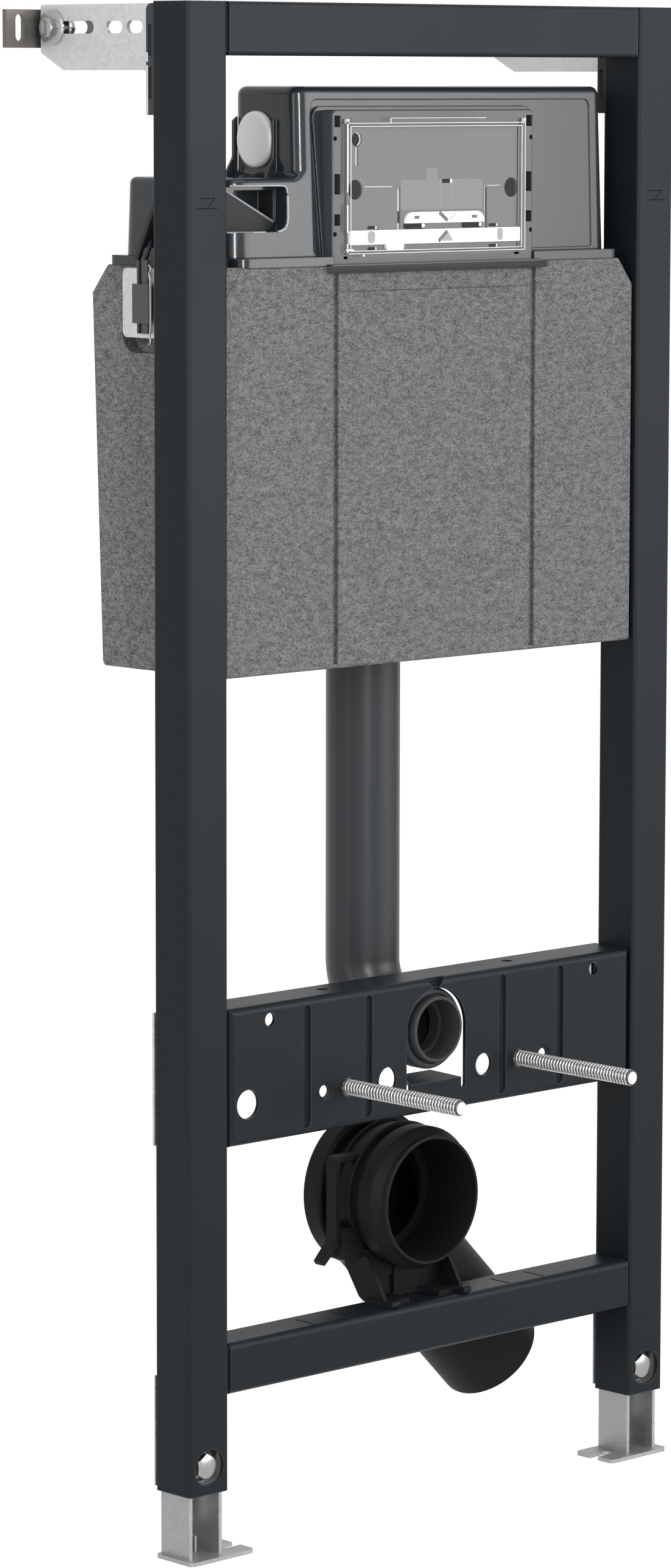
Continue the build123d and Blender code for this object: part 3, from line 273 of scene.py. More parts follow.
def edge_rub_and_highlight_group():
    """A mask along hard edges, broken up by noise, for rubbed wear and painted highlight."""
    edge_gain = 9.0
    graph, start, end = new_group(
        RUB_AND_HIGHLIGHT, [("Width", NUMBER, 0.0012), ("Breakup", NUMBER, 0.5)], [("Mask", NUMBER)])
    normal = graph.add("ShaderNodeNewGeometry").outputs["Normal"]
    soft = graph.add("ShaderNodeBevel", {"samples": 4}, Radius=start["Width"]).outputs[0]
    along = graph.add("ShaderNodeVectorMath", {"operation": "DOT_PRODUCT"})
    graph.join(along.inputs[0], normal)
    graph.join(along.inputs[1], soft)
    bent = graph.maths("SUBTRACT", 1.0, along.outputs["Value"])
    strong = graph.maths("MINIMUM", graph.maths("MULTIPLY", bent, edge_gain), 1.0)
    noise = graph.noise(graph.place(), scale=120.0, detail=3.0)
    broken = graph.maths("SUBTRACT", 1.0, graph.maths("MULTIPLY", noise, start["Breakup"]))
    graph.feed(end, "Mask", graph.maths("MULTIPLY", strong, broken))


def new_material(name, **inputs):
    """The nodes of a new material and its shader, with some of the shader's inputs set."""
    material = bpy.data.materials.new(name)
    material.use_nodes = True
    graph = NodeTree(material.node_tree)
    shader = material.node_tree.nodes["Principled BSDF"]
    for input_name, value in inputs.items():
        graph.feed(shader, input_name.replace("_", " "), value)
    return graph, shader


def coated(name, colour, roughness=0.5, metallic=0.0, grain=900.0, tone=0.06, bump=0.1, rub=0.25,
           rub_and_highlight_colour=None, specular=0.5, soft_edge=0.0):
    """A finish with fine grain, slight tone changes and lighter edges that are partly rubbed wear
    and partly painted highlight.
    """
    roughness_swing = 0.16
    graph, shader = new_material(name, Metallic=metallic, Specular_IOR_Level=specular)
    groups = bpy.data.node_groups
    grained = graph.add("ShaderNodeGroup", {"node_tree": groups[GRAIN]},
                        Colour=colour, Scale=grain, Tone=tone).outputs
    edges = graph.add("ShaderNodeGroup", {"node_tree": groups[RUB_AND_HIGHLIGHT]}).outputs["Mask"]
    light = rub_and_highlight_colour or shade(colour, 1.8, 0.01)
    rubbed_and_highlit = graph.mix(graph.maths("MULTIPLY", edges, rub), grained["Colour"], light)
    rough = graph.maths("MULTIPLY_ADD", grained["Mask"], roughness_swing,
                        roughness - roughness_swing / 2)
    graph.feed(shader, "Base Color", rubbed_and_highlit)
    graph.feed(shader, "Roughness", rough)
    soft = None
    if soft_edge:
        soft = graph.add("ShaderNodeBevel", {"samples": 6}, Radius=soft_edge).outputs[0]
    graph.relief(shader, grained["Height"], strength=bump, depth=0.0004, normal=soft)


def foam_material(colour):
    """Bead foam: fine light and dark mottling with faint level streaks and dark specks."""
    mottle_share = 0.62
    contrast = 3.4
    speck_limit = 0.36
    speck_strength = 0.6
    level_streaks = (0.55, 0.55, 1.0)
    graph, shader = new_material("insulation_foam", Roughness=0.85, Specular_IOR_Level=0.2)
    wide = graph.add("ShaderNodeMapping", Vector=graph.place(), Scale=level_streaks).outputs[0]
    mottle = graph.noise(wide, scale=820.0, detail=2.0)
    blotch = graph.noise(wide, scale=260.0, detail=3.0)
    specks = graph.noise(wide, scale=560.0, detail=1.0)
    both = graph.weighted(mottle, blotch, mottle_share)
    spread = graph.maths("MULTIPLY_ADD", graph.maths("SUBTRACT", both, 0.5), contrast, 0.5)
    clipped = graph.maths("MINIMUM", graph.maths("MAXIMUM", spread, 0.0), 1.0)
    base = graph.mix(clipped, shade(colour, 0.54), shade(colour, 1.5))
    speck = graph.maths("MULTIPLY", graph.maths("LESS_THAN", specks, speck_limit), speck_strength)
    graph.feed(shader, "Base Color", graph.mix(speck, base, shade(colour, 0.36)))
    height = graph.maths("SUBTRACT", clipped, speck)
    graph.relief(shader, height, strength=0.25, depth=0.0005)


def galvanised_material(name, colour):
    """Zinc coating: soft crystal patches and faint streaks."""
    crystal_share = 0.5
    roughness_swing = 0.2
    least_roughness = 0.36
    graph, shader = new_material(name, Metallic=0.85)
    place = graph.place()
    warped = graph.noise(place, scale=30.0, detail=2.0)
    crystals = graph.add("ShaderNodeTexVoronoi", Vector=place, Scale=420.0).outputs["Color"]
    tone = graph.add("ShaderNodeSeparateColor", Color=crystals).outputs[0]
    mixed = graph.weighted(tone, warped, crystal_share)
    graph.feed(shader, "Base Color", graph.mix(mixed, shade(colour, 0.88), shade(colour, 1.08)))
    graph.feed(shader, "Roughness",
               graph.maths("MULTIPLY_ADD", mixed, roughness_swing, least_roughness))
    graph.relief(shader, tone, strength=0.08, depth=0.0003)


def clear_material():
    """Thin clear plastic with a faint smoky tint."""
    graph, shader = new_material(
        "clear_cover", Base_Color=(0.5, 0.52, 0.52, 1.0), Roughness=0.12, Alpha=0.035,
        Specular_IOR_Level=0.2, IOR=1.45)
    ripple = graph.noise(graph.place(), scale=60.0, detail=1.0)
    graph.relief(shader, ripple, strength=0.03, depth=0.0003)


FLAT = dict(bump=0.0, rub=0.0)
SMOOTH = dict(grain=700.0, tone=0.03, bump=0.02, rub=0.0)
MOULDED = dict(tone=0.1, bump=0.06, rub=0.2)
# Each coated finish, the colour setting that it takes or its own screen colour, and its values
COATED_FINISHES = (
    # The powder coat's edges are lightened strongly: painted highlight along the arrises of posts
    # and bars
    ("powder_coat", "powder_coat", dict(
        roughness=0.42, grain=1500.0, bump=0.12, rub=0.65, rub_and_highlight_colour=linear(82, 87, 91),
        specular=0.13)),
    ("clip_paint", "clip", dict(roughness=0.45, bump=0.05, specular=0.2)),
    ("plated_zinc", "zinc", dict(roughness=0.24, metallic=0.9, grain=2000.0, bump=0.05)),
    ("cistern_plastic", "tank", dict(
        roughness=0.16, grain=500.0, bump=0.02, rub=0.1, specular=0.38, soft_edge=0.0012)),
    ("opening_plastic", "service", dict(roughness=0.36, bump=0.05, rub=0.2, specular=0.45)),
    ("inner_panel", "panel", dict(bump=0.04, rub=0.1, specular=0.3)),
    ("stud_zinc", (212, 212, 210), dict(
        roughness=0.32, metallic=0.7, grain=2000.0, bump=0.02, rub=0.0)),
    # Darker zinc for painted shade in the studs' thread grooves
    ("thread_root", (70, 70, 70), dict(metallic=0.3, grain=2000.0, bump=0.03, rub=0.0)),
    # Darker finishes for painted shade on the opening's lip and the pocket's floor, and a light one
    # for painted highlight on the pocket's lips
    ("lip_shade", (44, 46, 48), dict(FLAT, roughness=0.45, specular=0.12)),
    ("pocket_shade", (56, 58, 60), dict(FLAT, specular=0.08)),
    ("edge_shine", (150, 153, 156), dict(FLAT, roughness=0.12)),
    ("lever_plastic", "lever", dict(roughness=0.4, grain=700.0, tone=0.02, bump=0.03, rub=0.0)),
    ("plug_plastic", "plug", dict(SMOOTH, bump=0.05)),
    ("pipe_plastic", "pipe", dict(MOULDED, roughness=0.35, specular=0.25)),
    ("bend_plastic", "bend", dict(MOULDED, specular=0.08)),
    ("fitting_plastic", "fitting", dict(MOULDED, specular=0.12)),
    ("panel_light", (121, 121, 121), dict(tone=0.03, bump=0.03, rub=0.0, specular=0.3)),
    # Black for painted shade in hollows, slots and gaps
    ("dark_gap", (4, 4, 4), dict(FLAT, roughness=0.8, specular=0.01)),
    ("grey_pad", (150, 150, 149), SMOOTH),
    ("mark_grey", (74, 75, 76), SMOOTH),
    # Near-white for painted highlights along the clear cover's edges
    ("cover_edge", (214, 216, 216), dict(SMOOTH, roughness=0.25)),
    ("arm_plastic", (24, 25, 27), dict(roughness=0.45, bump=0.05, rub=0.3, specular=0.3)),
    ("mark_print", "mark", dict(FLAT, roughness=0.6, specular=0.1)),
)

# The nodes of each finish, by the start of their names
NODE_FINISHES = {
    "powder_coat": ("post", "top_bar", "lower_bar", "mounting_plate"),
    "galvanised": ("plate_strap", "back_plate", "wall_bracket", "hanger_panel"),
    "plated_zinc": ("pan_stud", "clamp_bolt", "wall_bolt"),
    "foot_zinc": ("foot",),
    "angle_zinc": ("wall_angle",),
    "clip_paint": ("hanger_clip",),
    "insulation_foam": ("insulation_shell",),
    "cistern_plastic": ("tank_rim", "cistern_tank"),
    "plug_plastic": ("inlet_plug",),
    "opening_plastic": ("service_frame",),
    "clear_cover": ("service_cover",),
    "inner_panel": ("service_panel",),
    "lever_plastic": ("lever", "flush_bridge", "flush_bar"),
    "pipe_plastic": ("flush_pipe",),
    "fitting_plastic": ("bracket_carrier", "flush_socket"),
    "bend_plastic": ("waste", "strap_lever"),
}


def finish_of(node_name):
    for finish, starts in NODE_FINISHES.items():
        if node_name.startswith(starts):
            return finish
    raise RuntimeError("no finish for " + node_name)


class TOILETFRAME_OT_finishes(bpy.types.Operator):
    """Make the finishes and give one to every piece of the frame"""

    bl_idname = "toilet_frame.finishes"
    bl_label = "Finishes"

    def execute(self, context):
        colours = context.scene.toilet_frame_colours
        grain_group()
        edge_rub_and_highlight_group()
        for finish, colour, values in COATED_FINISHES:
            own = getattr(colours, colour) if isinstance(colour, str) else linear(*colour)
            coated(finish, own, **values)
        for finish in ("galvanised", "foot_zinc", "angle_zinc"):
            galvanised_material(finish, getattr(colours, finish))
        foam_material(colours.foam)
        clear_material()
        for name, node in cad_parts.items():
            node.data.materials.clear()
            node.data.materials.append(bpy.data.materials[finish_of(name)])
        return {"FINISHED"}


class Builder:
    """Collects rings of points about a line and the faces between them, in metres."""

    def __init__(self, origin, along, across):
        self.origin = Vector(origin)
        self.along = Vector(along).normalized()
        self.across = Vector(across).normalized()
        self.third = self.along.cross(self.across)
        self.points = []
        self.faces = []

    def ring(self, radius_at, distance_at, count):
        """A ring whose radius and distance along the line may change with the angle."""
        first = len(self.points)
        for step in range(count):
            angle = 2 * math.pi * step / count
            out = self.across * math.cos(angle) + self.third * math.sin(angle)
            self.points.append(
                self.origin + self.along * distance_at(angle) + out * radius_at(angle))
        return list(range(first, first + count))

    def join(self, low, high):
        count = len(low)
        for step in range(count):
            after = (step + 1) % count
            self.faces.append((low[step], low[after], high[after], high[step]))

    def skin(self, rings, close_ends=True):
        """Joins each ring to the next, and fills the first and the last one."""
        for low, high in zip(rings, rings[1:]):
            self.join(low, high)
        if close_ends:
            self.faces.append(tuple(reversed(rings[0])))
            self.faces.append(tuple(rings[-1]))

    def lathe(self, profile, count=48, close_ends=True):
        """Turns (radius, distance) pairs about the builder's line."""
        rings = [self.ring(lambda a, r=r: r, lambda a, d=d: d, count) for r, d in profile]
        self.skin(rings, close_ends)

    def hexagon(self, start, height, across_flats, chamfer_end=True, count=72):
        """A bolt head or nut whose corners are chamfered as on a turned hexagon."""
        chamfer_share = 0.95
        flat = across_flats / 2
        circle = flat * chamfer_share
        slope = math.tan(math.radians(30))

        def corner(angle):
            return flat / math.cos((angle % (math.pi / 3)) - math.pi / 6)

        def drop(angle):
            return max(0.0, corner(angle) - circle) * slope

        rings = [self.ring(lambda a: circle, lambda a: start, count),
                 self.ring(corner, lambda a: start + drop(a), count)]
        if chamfer_end:
            rings.append(self.ring(corner, lambda a: start + height - drop(a), count))
            rings.append(self.ring(lambda a: circle, lambda a: start + height, count))
        else:
            rings.append(self.ring(corner, lambda a: start + height, count))
        self.skin(rings)

    def thread(self, length, radius, depth, pitch, chamfer, count=40, steps=8):
        """A threaded bar whose groove climbs round it, with a chamfer at its start."""
        chamfer_drop = 1.6
        crest_gain = 1.35
        total = int(length / pitch * steps)
        rings = []
        for row in range(total + 1):
            distance = row * length / total
            limit = radius - depth * chamfer_drop + distance if distance < chamfer else radius

            def radius_at(angle, distance=distance, limit=limit):
                phase = (distance / pitch - angle / (2 * math.pi)) % 1.0
                rise = 0.5 - 0.5 * math.cos(2 * math.pi * phase)
                return min(limit, radius - depth * (1.0 - min(1.0, crest_gain * rise)))

            rings.append(self.ring(radius_at, lambda a, d=distance: d, count))
        self.skin(rings)


SHARP_ANGLE = math.radians(35)


def add_piece(name, mesh, finish, sharp_edges=True):
    """Gives a mesh its finish and lets it ride on the frame."""
    mesh.materials.clear()
    mesh.materials.append(bpy.data.materials[finish])
    mesh.shade_smooth()
    if sharp_edges:
        mesh.set_sharp_from_angle(angle=SHARP_ANGLE)
    piece = bpy.data.objects.new(name, mesh)
    bpy.context.scene.collection.objects.link(piece)
    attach(piece, "frame")
    return piece


def mesh_piece(name, points, faces, finish):
    """A piece from points in metres."""
    mesh = bpy.data.meshes.new(name)
    mesh.from_pydata([tuple(point) for point in points], [], faces)
    mesh.validate()
    return add_piece(name, mesh, finish)


def screw_piece(name, screw, node_name, finish="plated_zinc"):
    """A turned zinc piece that stands in for a CAD node."""
    piece = mesh_piece(name, screw.points, screw.faces, finish)
    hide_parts(node_name)
    return piece


def tube_piece(name, points, radius, finish):
    """A round wire that follows a smooth curve through drawn control points."""
    data = bpy.data.curves.new(name, "CURVE")
    data.dimensions = "3D"
    spline = data.splines.new("NURBS")
    spline.points.add(len(points) - 1)
    for place, point in zip(spline.points, points):
        place.co = (*at(*point), 1.0)
    spline.order_u = 3
    spline.use_endpoint_u = True
    data.bevel_depth = radius * MM
    data.bevel_resolution = 3
    data.use_fill_caps = True
    data.resolution_u = 6
    holder = bpy.data.objects.new(name + "_line", data)
    bpy.context.scene.collection.objects.link(holder)
    mesh = bpy.data.meshes.new_from_object(holder)
    bpy.data.objects.remove(holder)
    mesh.name = name
    return add_piece(name, mesh, finish, sharp_edges=False)


def swept_piece(name, shapes, place, direction, finish, edge):
    """Solid shapes whose outline is carried from one depth to another, with rounded edges."""
    build = bmesh.new()
    for outline, start, end in shapes:
        face = build.faces.new([build.verts.new(place(point, start)) for point in outline])
        grown = bmesh.ops.extrude_face_region(build, geom=[face])["geom"]
        moved = [item for item in grown if isinstance(item, bmesh.types.BMVert)]
        bmesh.ops.translate(build, verts=moved, vec=Vector(direction) * ((end - start) * MM))
        if edge:
            rim = [item for item in grown if isinstance(item, bmesh.types.BMEdge)]
            bmesh.ops.bevel(build, geom=rim, offset=edge * MM, segments=2, affect="EDGES",
                            profile=0.5)
    bmesh.ops.recalc_face_normals(build, faces=build.faces)
    mesh = bpy.data.meshes.new(name)
    build.to_mesh(mesh)
    build.free()
    return add_piece(name, mesh, finish)


def side_pieces(name, shapes, finish, edge=0.0):
    """Shapes that look to the side: (outline of y and z, x, other x) in drawn millimetres."""
    return swept_piece(name, shapes, lambda point, x: at(x, point.x, point.y), RIGHTWARD,
                       finish, edge)


def front_pieces(name, shapes, finish, edge=0.0):
    """Shapes that look to the front: (outline of x and z, front, back) in drawn millimetres."""
    from_back = [(outline, back, front) for outline, front, back in shapes]
    return swept_piece(name, from_back, lambda point, y: at(point.x, y, point.y), BACKWARD,
                       finish, edge)


def layer(front, back, *outlines):
    """Gives several outlines the same front and back."""
    return [(outline, front, back) for outline in outlines]


def polygon(*corners):
    return [Vector(corner) for corner in corners]


def rounded(corners, radius, steps=5):
    """An outline of corners in millimetres with every corner rounded."""
    most = 0.49
    result = []
    for index, corner in enumerate(corners):
        middle = Vector(corner)
        before = Vector(corners[index - 1]) - middle
        after = Vector(corners[(index + 1) % len(corners)]) - middle
        reach = min(radius / math.tan(before.angle(after) / 2),
                    before.length * most, after.length * most)
        start = middle + before.normalized() * reach
        end = middle + after.normalized() * reach
        for step in range(steps + 1):
            part = step / steps
            result.append(start * (1 - part) ** 2 + middle * 2 * part * (1 - part)
                          + end * part ** 2)
    return result


def oblong(x0, x1, z0, z1, radius=0.0):
    corners = polygon((x0, z0), (x1, z0), (x1, z1), (x0, z1))
    return rounded(corners, radius) if radius else corners


def disc(x, z, radius, count=40):
    turns = [2 * math.pi * step / count for step in range(count)]
    return [Vector((x + radius * math.cos(turn), z + radius * math.sin(turn))) for turn in turns]


THIN_LINE = 0.45


def stroke(x0, z0, x1, z1, width=THIN_LINE):
    """The outline of a straight line of some width."""
    start, end = Vector((x0, z0)), Vector((x1, z1))
    along = (end - start).normalized() * width / 2
    side = Vector((-along.y, along.x))
    return [start - side, end - side, end + side, start + side]


STUD_CHAMFER = 0.0018
STUD_NUT_Y = 4.0
STUD_NUT_HEIGHT = 0.010
STUD_NUT_FLATS = 0.018
# The part of the thread's depth below which a face takes the darker finish, painted shade in the
# thread's groove
ROOT_SHARE = 0.4
# Faces nearer to the stud's line than this part of the root's radius are its end
END_SHARE = 0.8


class TOILETFRAME_OT_pan_studs(bpy.types.Operator):
    """Make the two threaded pan studs with their nuts"""

    bl_idname = "toilet_frame.pan_studs"
    bl_label = "Pan studs"

    def execute(self, context):
        sizes = context.scene.toilet_frame_fasteners
        for side, _ in SIDES:
            low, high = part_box("pan_stud_" + side)
            middle = (low + high) / 2
            tip = Vector((middle.x, low.y, middle.z))
            nut_start = at(0, STUD_NUT_Y, 0).y - low.y
            stud = Builder(tip, BACKWARD, RIGHTWARD)
            stud.thread(high.y - low.y, sizes.stud_radius, sizes.thread_depth,
                        sizes.thread_pitch, STUD_CHAMFER)
            stud.hexagon(nut_start, STUD_NUT_HEIGHT, STUD_NUT_FLATS)
            piece = screw_piece("pan_stud_thread_" + side, stud, "pan_stud_" + side, "stud_zinc")
            piece.data.materials.append(bpy.data.materials["thread_root"])
            root = sizes.stud_radius - sizes.thread_depth * ROOT_SHARE
            for face in piece.data.polygons:
                off_line = math.hypot(face.center.x - tip.x, face.center.z - tip.z)
                on_thread = face.center.y < tip.y + nut_start
                face.material_index = int(on_thread and root * END_SHARE < off_line < root)
        return {"FINISHED"}


# The clamp bolt: a head, a washer, a sleeve in the foot's slot and a nut behind the post
CLAMP_FLATS = 0.017
CLAMP_HEAD = 0.0064
CLAMP_WASHER = ((0.0104, 0.0060), (0.0120, 0.0066), (0.0120, 0.0084))
CLAMP_SLEEVE = 0.0080
CLAMP_SLEEVE_Y = 31.7
CLAMP_SHANK = 0.0049
CLAMP_CHAMFER = 0.0008
CLAMP_NUT = 0.006
CLAMP_NUT_Y = 39.0

# The wall bolt: a head, a washer, a shank through bracket and angle, a second washer and a nut
WALL_FLATS = 0.013
WALL_HEAD = 0.0053
WALL_WASHER = ((0.0124, 0.0053), (0.0130, 0.0057), (0.0130, 0.0073))
WALL_SHANK = 0.0039
WALL_CHAMFER = 0.0007
WALL_NUT = 0.0065
WALL_INNER_WASHER = 0.0149
WALL_INNER_PROFILE = ((0.0041, 0.0), (0.0097, 0.0), (0.0100, 0.0003), (0.0100, 0.0020),
                      (0.0041, 0.0020))


def shank_end(radius, length, chamfer):
    """The last two points of a shank's profile."""
    return [(radius, length - chamfer), (radius - chamfer, length)]


class TOILETFRAME_OT_bolts(bpy.types.Operator):
    """Make the foot clamp bolts and the wall bolts with chamfered heads and nuts"""

    bl_idname = "toilet_frame.bolts"
    bl_label = "Bolts"

    def clamp_bolt(self, side):
        low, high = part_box("clamp_bolt_" + side)
        middle = (low + high) / 2
        bolt = Builder((middle.x, low.y, middle.z), BACKWARD, UPWARD)
        sleeve_end = at(0, CLAMP_SLEEVE_Y, 0).y - low.y
        washer_end = CLAMP_WASHER[-1][1]
        bolt.hexagon(0.0, CLAMP_HEAD, CLAMP_FLATS, chamfer_end=False)
        bolt.lathe([*CLAMP_WASHER, (CLAMP_SLEEVE, washer_end), (CLAMP_SLEEVE, sleeve_end),
                    (CLAMP_SHANK, sleeve_end),
                    *shank_end(CLAMP_SHANK, high.y - low.y, CLAMP_CHAMFER)])
        bolt.hexagon(at(0, CLAMP_NUT_Y, 0).y - low.y, CLAMP_NUT, CLAMP_FLATS)
        screw_piece("clamp_screw_" + side, bolt, "clamp_bolt_" + side)

    def wall_bolt(self, side):
        low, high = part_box("wall_bolt_" + side)
        middle = (low + high) / 2
        bolt = Builder((low.x, middle.y, middle.z), RIGHTWARD, BACKWARD)
        inner_profile = [(radius, WALL_INNER_WASHER + step) for radius, step in WALL_INNER_PROFILE]
        bolt.hexagon(0.0, WALL_HEAD, WALL_FLATS, chamfer_end=False)
        bolt.lathe([*WALL_WASHER, (WALL_SHANK, WALL_WASHER[-1][1]),
                    *shank_end(WALL_SHANK, high.x - low.x, WALL_CHAMFER)])
        bolt.lathe(inner_profile, close_ends=False)
        bolt.hexagon(inner_profile[-1][1], WALL_NUT, WALL_FLATS)
        screw_piece("wall_screw_" + side, bolt, "wall_bolt_" + side)

    def execute(self, context):
        for side, _ in SIDES:
            self.clamp_bolt(side)
            self.wall_bolt(side)
        return {"FINISHED"}


POST_MIDDLE = 231.0
# Just in front of the posts' fronts
MARK_Y = -0.05
# The lines of one level mark: start and end, across from the post's middle and up from the floor
LEVEL_MARK = (((-8.4, 987.7), (6.3, 987.7)), ((6.3, 987.7), (-1.0, 980.5)),
              ((-11.4, 980.5), (9.2, 980.5)))


class TOILETFRAME_OT_level_marks(bpy.types.Operator):
    """Draw the fine level marks on the fronts of both posts"""

    bl_idname = "toilet_frame.level_marks"
    bl_label = "Level marks"

    def execute(self, context):
        width = context.scene.toilet_frame_fasteners.mark_line / MM
        for side, sign in SIDES:
            points, faces = [], []
            middle = sign * POST_MIDDLE
            for (x0, z0), (x1, z1) in LEVEL_MARK:
                first = len(points)
                line = stroke(middle + x0, z0, middle + x1, z1, width)
                points.extend(at(corner.x, MARK_Y, corner.y) for corner in line)
                faces.append(tuple(range(first, first + 4)))
            mesh_piece("level_mark_" + side, points, faces, "mark_print")
        return {"FINISHED"}


# Planes in the service opening, and how far thin shapes stand in front of them
PANEL_FRONT = 6.6
PANEL_SKIN = PANEL_FRONT - 0.06
PANEL_LINE = PANEL_SKIN - 0.02
PANEL_HOLLOW = PANEL_SKIN - 0.04
PANEL_WHITE = PANEL_HOLLOW - 0.05
BAR_FRONT = 4.4
BAR_STROKE = BAR_FRONT - 0.06
BAR_MARK = BAR_FRONT - 0.09
BAR_PAD = BAR_FRONT - 0.12
BEHIND_PANEL = 8.2
COVER_FRONT = 3.0
HOLE_SIDES = (-80.5, 80.5)
HOLE_Z = 991.8
RING_RADII = (0.0093, 0.0097)
# Clips beside the levers: their middles, heights, and their parts across in painted shade and in
# white
CLIP_MIDDLES = [(x, z) for x in (-62.6, 62.6) for z in (949.0, 964.3)]
CLIP_SHADE = (-6.2, 3.4)
CLIP_WHITE = (3.4, 6.2)
CLIP_HALF_HEIGHT = 1.5
CLIP_DEPTHS = (7.9, BEHIND_PANEL - 0.1)


def clip_parts(part):
    """The outlines of one part of all the clips."""
    return [oblong(x + part[0], x + part[1], z - CLIP_HALF_HEIGHT, z + CLIP_HALF_HEIGHT)
            for x, z in CLIP_MIDDLES]


class TOILETFRAME_OT_opening_details(bpy.types.Operator):
    """Make the holes, slots and marks that show through the clear cover"""

    bl_idname = "toilet_frame.opening_details"
    bl_label = "Opening details"

    def execute(self, context):
        field = layer(PANEL_SKIN, PANEL_FRONT,
                      oblong(-34.5, 50.3, 976.5, 998.4, 2.5), oblong(-8.3, 3.1, 998.4, 1006.8, 0.6))
        front_pieces("panel_field", field, "panel_light")
        # Black pieces in and behind the panel: painted shade in its holes, slots and gaps
        painted_shade = [
            *layer(PANEL_HOLLOW, PANEL_FRONT,
                   oblong(-31.8, -9.6, 962.6, 967.4, 2.2), oblong(28.4, 49.3, 962.6, 967.4, 2.2),
                   oblong(8.0, 16.4, 995.7, 998.8, 0.4)),
            *layer(PANEL_SKIN, PANEL_FRONT,
                   stroke(86.9, 948.0, 86.9, 1037.0, 0.9),
                   stroke(-88.0, 1037.3, 86.9, 1037.3, 0.5)),
            *layer(BEHIND_PANEL - 0.2, BEHIND_PANEL, disc(-79.9, 1028.2, 4.6)),
            *layer(BEHIND_PANEL - 0.15, BEHIND_PANEL,
                   oblong(-37.6, -34.8, 967.0, 975.7), oblong(54.2, 55.1, 962.0, 992.0)),
            *layer(6.1, 6.3,
                   oblong(-92.5, -88.6, 941.9, 943.9, 0.3), oblong(83.6, 88.5, 942.1, 943.9, 0.3)),
            *layer(BEHIND_PANEL, BEHIND_PANEL + 0.4, *[disc(x, HOLE_Z, 8.2) for x in HOLE_SIDES]),
            *layer(*CLIP_DEPTHS, *clip_parts(CLIP_SHADE))]
        front_pieces("opening_hollows", painted_shade, "dark_gap")
        white = [
            *layer(BEHIND_PANEL, BEHIND_PANEL + 0.3,
                   disc(-78.6, 1028.2, 5.6), oblong(-80.6, -77.4, 1008.0, 1025.0)),
            *layer(PANEL_WHITE, PANEL_FRONT,
                   oblong(-13.0, -9.8, 963.4, 966.4, 1.0), oblong(46.6, 49.1, 963.4, 966.4, 1.0),
                   oblong(16.2, 18.3, 995.8, 998.7, 0.3)),
            *layer(PANEL_SKIN, PANEL_FRONT,
                   stroke(-71.0, 993.9, -43.7, 993.6, 0.4), stroke(54.9, 993.5, 68.8, 993.5, 0.3)),
            *layer(5.4, 6.2, oblong(-90.5, -83.0, 947.6, 949.0, 0.3)),
            *layer(*CLIP_DEPTHS, *clip_parts(CLIP_WHITE))]
        front_pieces("opening_white_parts", white, "lever_plastic")
        grey = [
            *layer(BAR_PAD, BAR_FRONT,
                   oblong(-69.9, -62.6, 953.0, 961.9, 3.2), oblong(63.8, 69.6, 953.0, 961.9, 2.6)),
            *layer(BAR_STROKE, BAR_FRONT,
                   stroke(20.6, 973.6, 13.0, 968.4, 0.7),
                   polygon((11.7, 960.8), (17.6, 953.4), (5.6, 953.4))),
            *layer(PANEL_LINE, PANEL_FRONT,
                   stroke(6.3, 977.5, 6.3, 997.8, 0.25), stroke(17.6, 977.5, 17.6, 995.5, 0.25))]
        front_pieces("opening_grey_pads", grey, "grey_pad")
        marks = layer(BAR_MARK, BAR_FRONT,
                      stroke(3.2, 974.4, 11.6, 968.3, 2.8), stroke(11.4, 960.6, 2.4, 953.3, 2.8),
                      oblong(-22.6, -17.2, 969.9, 972.2, 1.1),
                      oblong(36.9, 42.6, 969.8, 972.1, 1.1))
        front_pieces("lever_marks", marks, "mark_grey")
        rings = Builder(at(0, PANEL_SKIN, HOLE_Z), BACKWARD, RIGHTWARD)
        for x in HOLE_SIDES:
            rings.origin = at(x, PANEL_SKIN, HOLE_Z)
            inner, outer = [rings.ring(lambda a, r=r: r, lambda a: 0.0, 48) for r in RING_RADII]
            rings.join(outer, inner)
        mesh_piece("panel_hole_rings", rings.points, rings.faces, "panel_light")
        return {"FINISHED"}


# The clear cover's left, right, bottom and top, and how far inside them its step lies
COVER = (-92.1, 92.1, 945.4, 1040.0)
COVER_STEP = 3.9


class TOILETFRAME_OT_cover_edges(bpy.types.Operator):
    """Make bright lines along the clear cover's moulded edges and step as painted highlight"""

    bl_idname = "toilet_frame.cover_edges"
    bl_label = "Cover edges"

    def execute(self, context):
        left, right, bottom, top = COVER
        step_left, step_right = left + COVER_STEP, right - COVER_STEP
        face = COVER_FRONT - 0.1
        lines = [
            *layer(face, COVER_FRONT + 0.3,
                   stroke(left + 0.6, 990.0, left + 0.6, top + 1.0, 1.2),
                   stroke(left + 0.6, 961.0, left + 0.6, 981.0, 1.1),
                   stroke(left + 0.5, bottom + 1, left + 0.5, 953.0, 0.9),
                   stroke(right - 0.4, bottom + 1, right - 0.4, top + 2.0),
                   stroke(left, top - 0.2, right, top - 0.2),
                   stroke(left + 2, bottom + 0.3, right, bottom + 0.3),
                   stroke(step_left, bottom + 2, step_left, top - 2.4),
                   stroke(step_right, bottom + 2, step_right, top - 2.4),
                   stroke(step_left, top - 2.5, step_right, top - 2.5),
                   stroke(step_left, bottom + 2.2, step_right, bottom + 2.2)),
            *layer(1.7, 2.0,
                   stroke(-49.2, top + 0.2, -49.2, top + 3.4, 0.6),
                   stroke(-49.2, top + 3.4, 49.2, top + 3.4, 0.35),
                   stroke(-76.5, bottom - 1.8, -76.5, bottom - 0.2, 1.6)),
            *layer(face, 5.9, *[oblong(x - 0.9, x + 0.9, top - 0.5, top + 3.0, 0.8)
                                for x in (left + 0.9, right - 0.9)])]
        front_pieces("cover_edges", lines, "cover_edge")
        return {"FINISHED"}


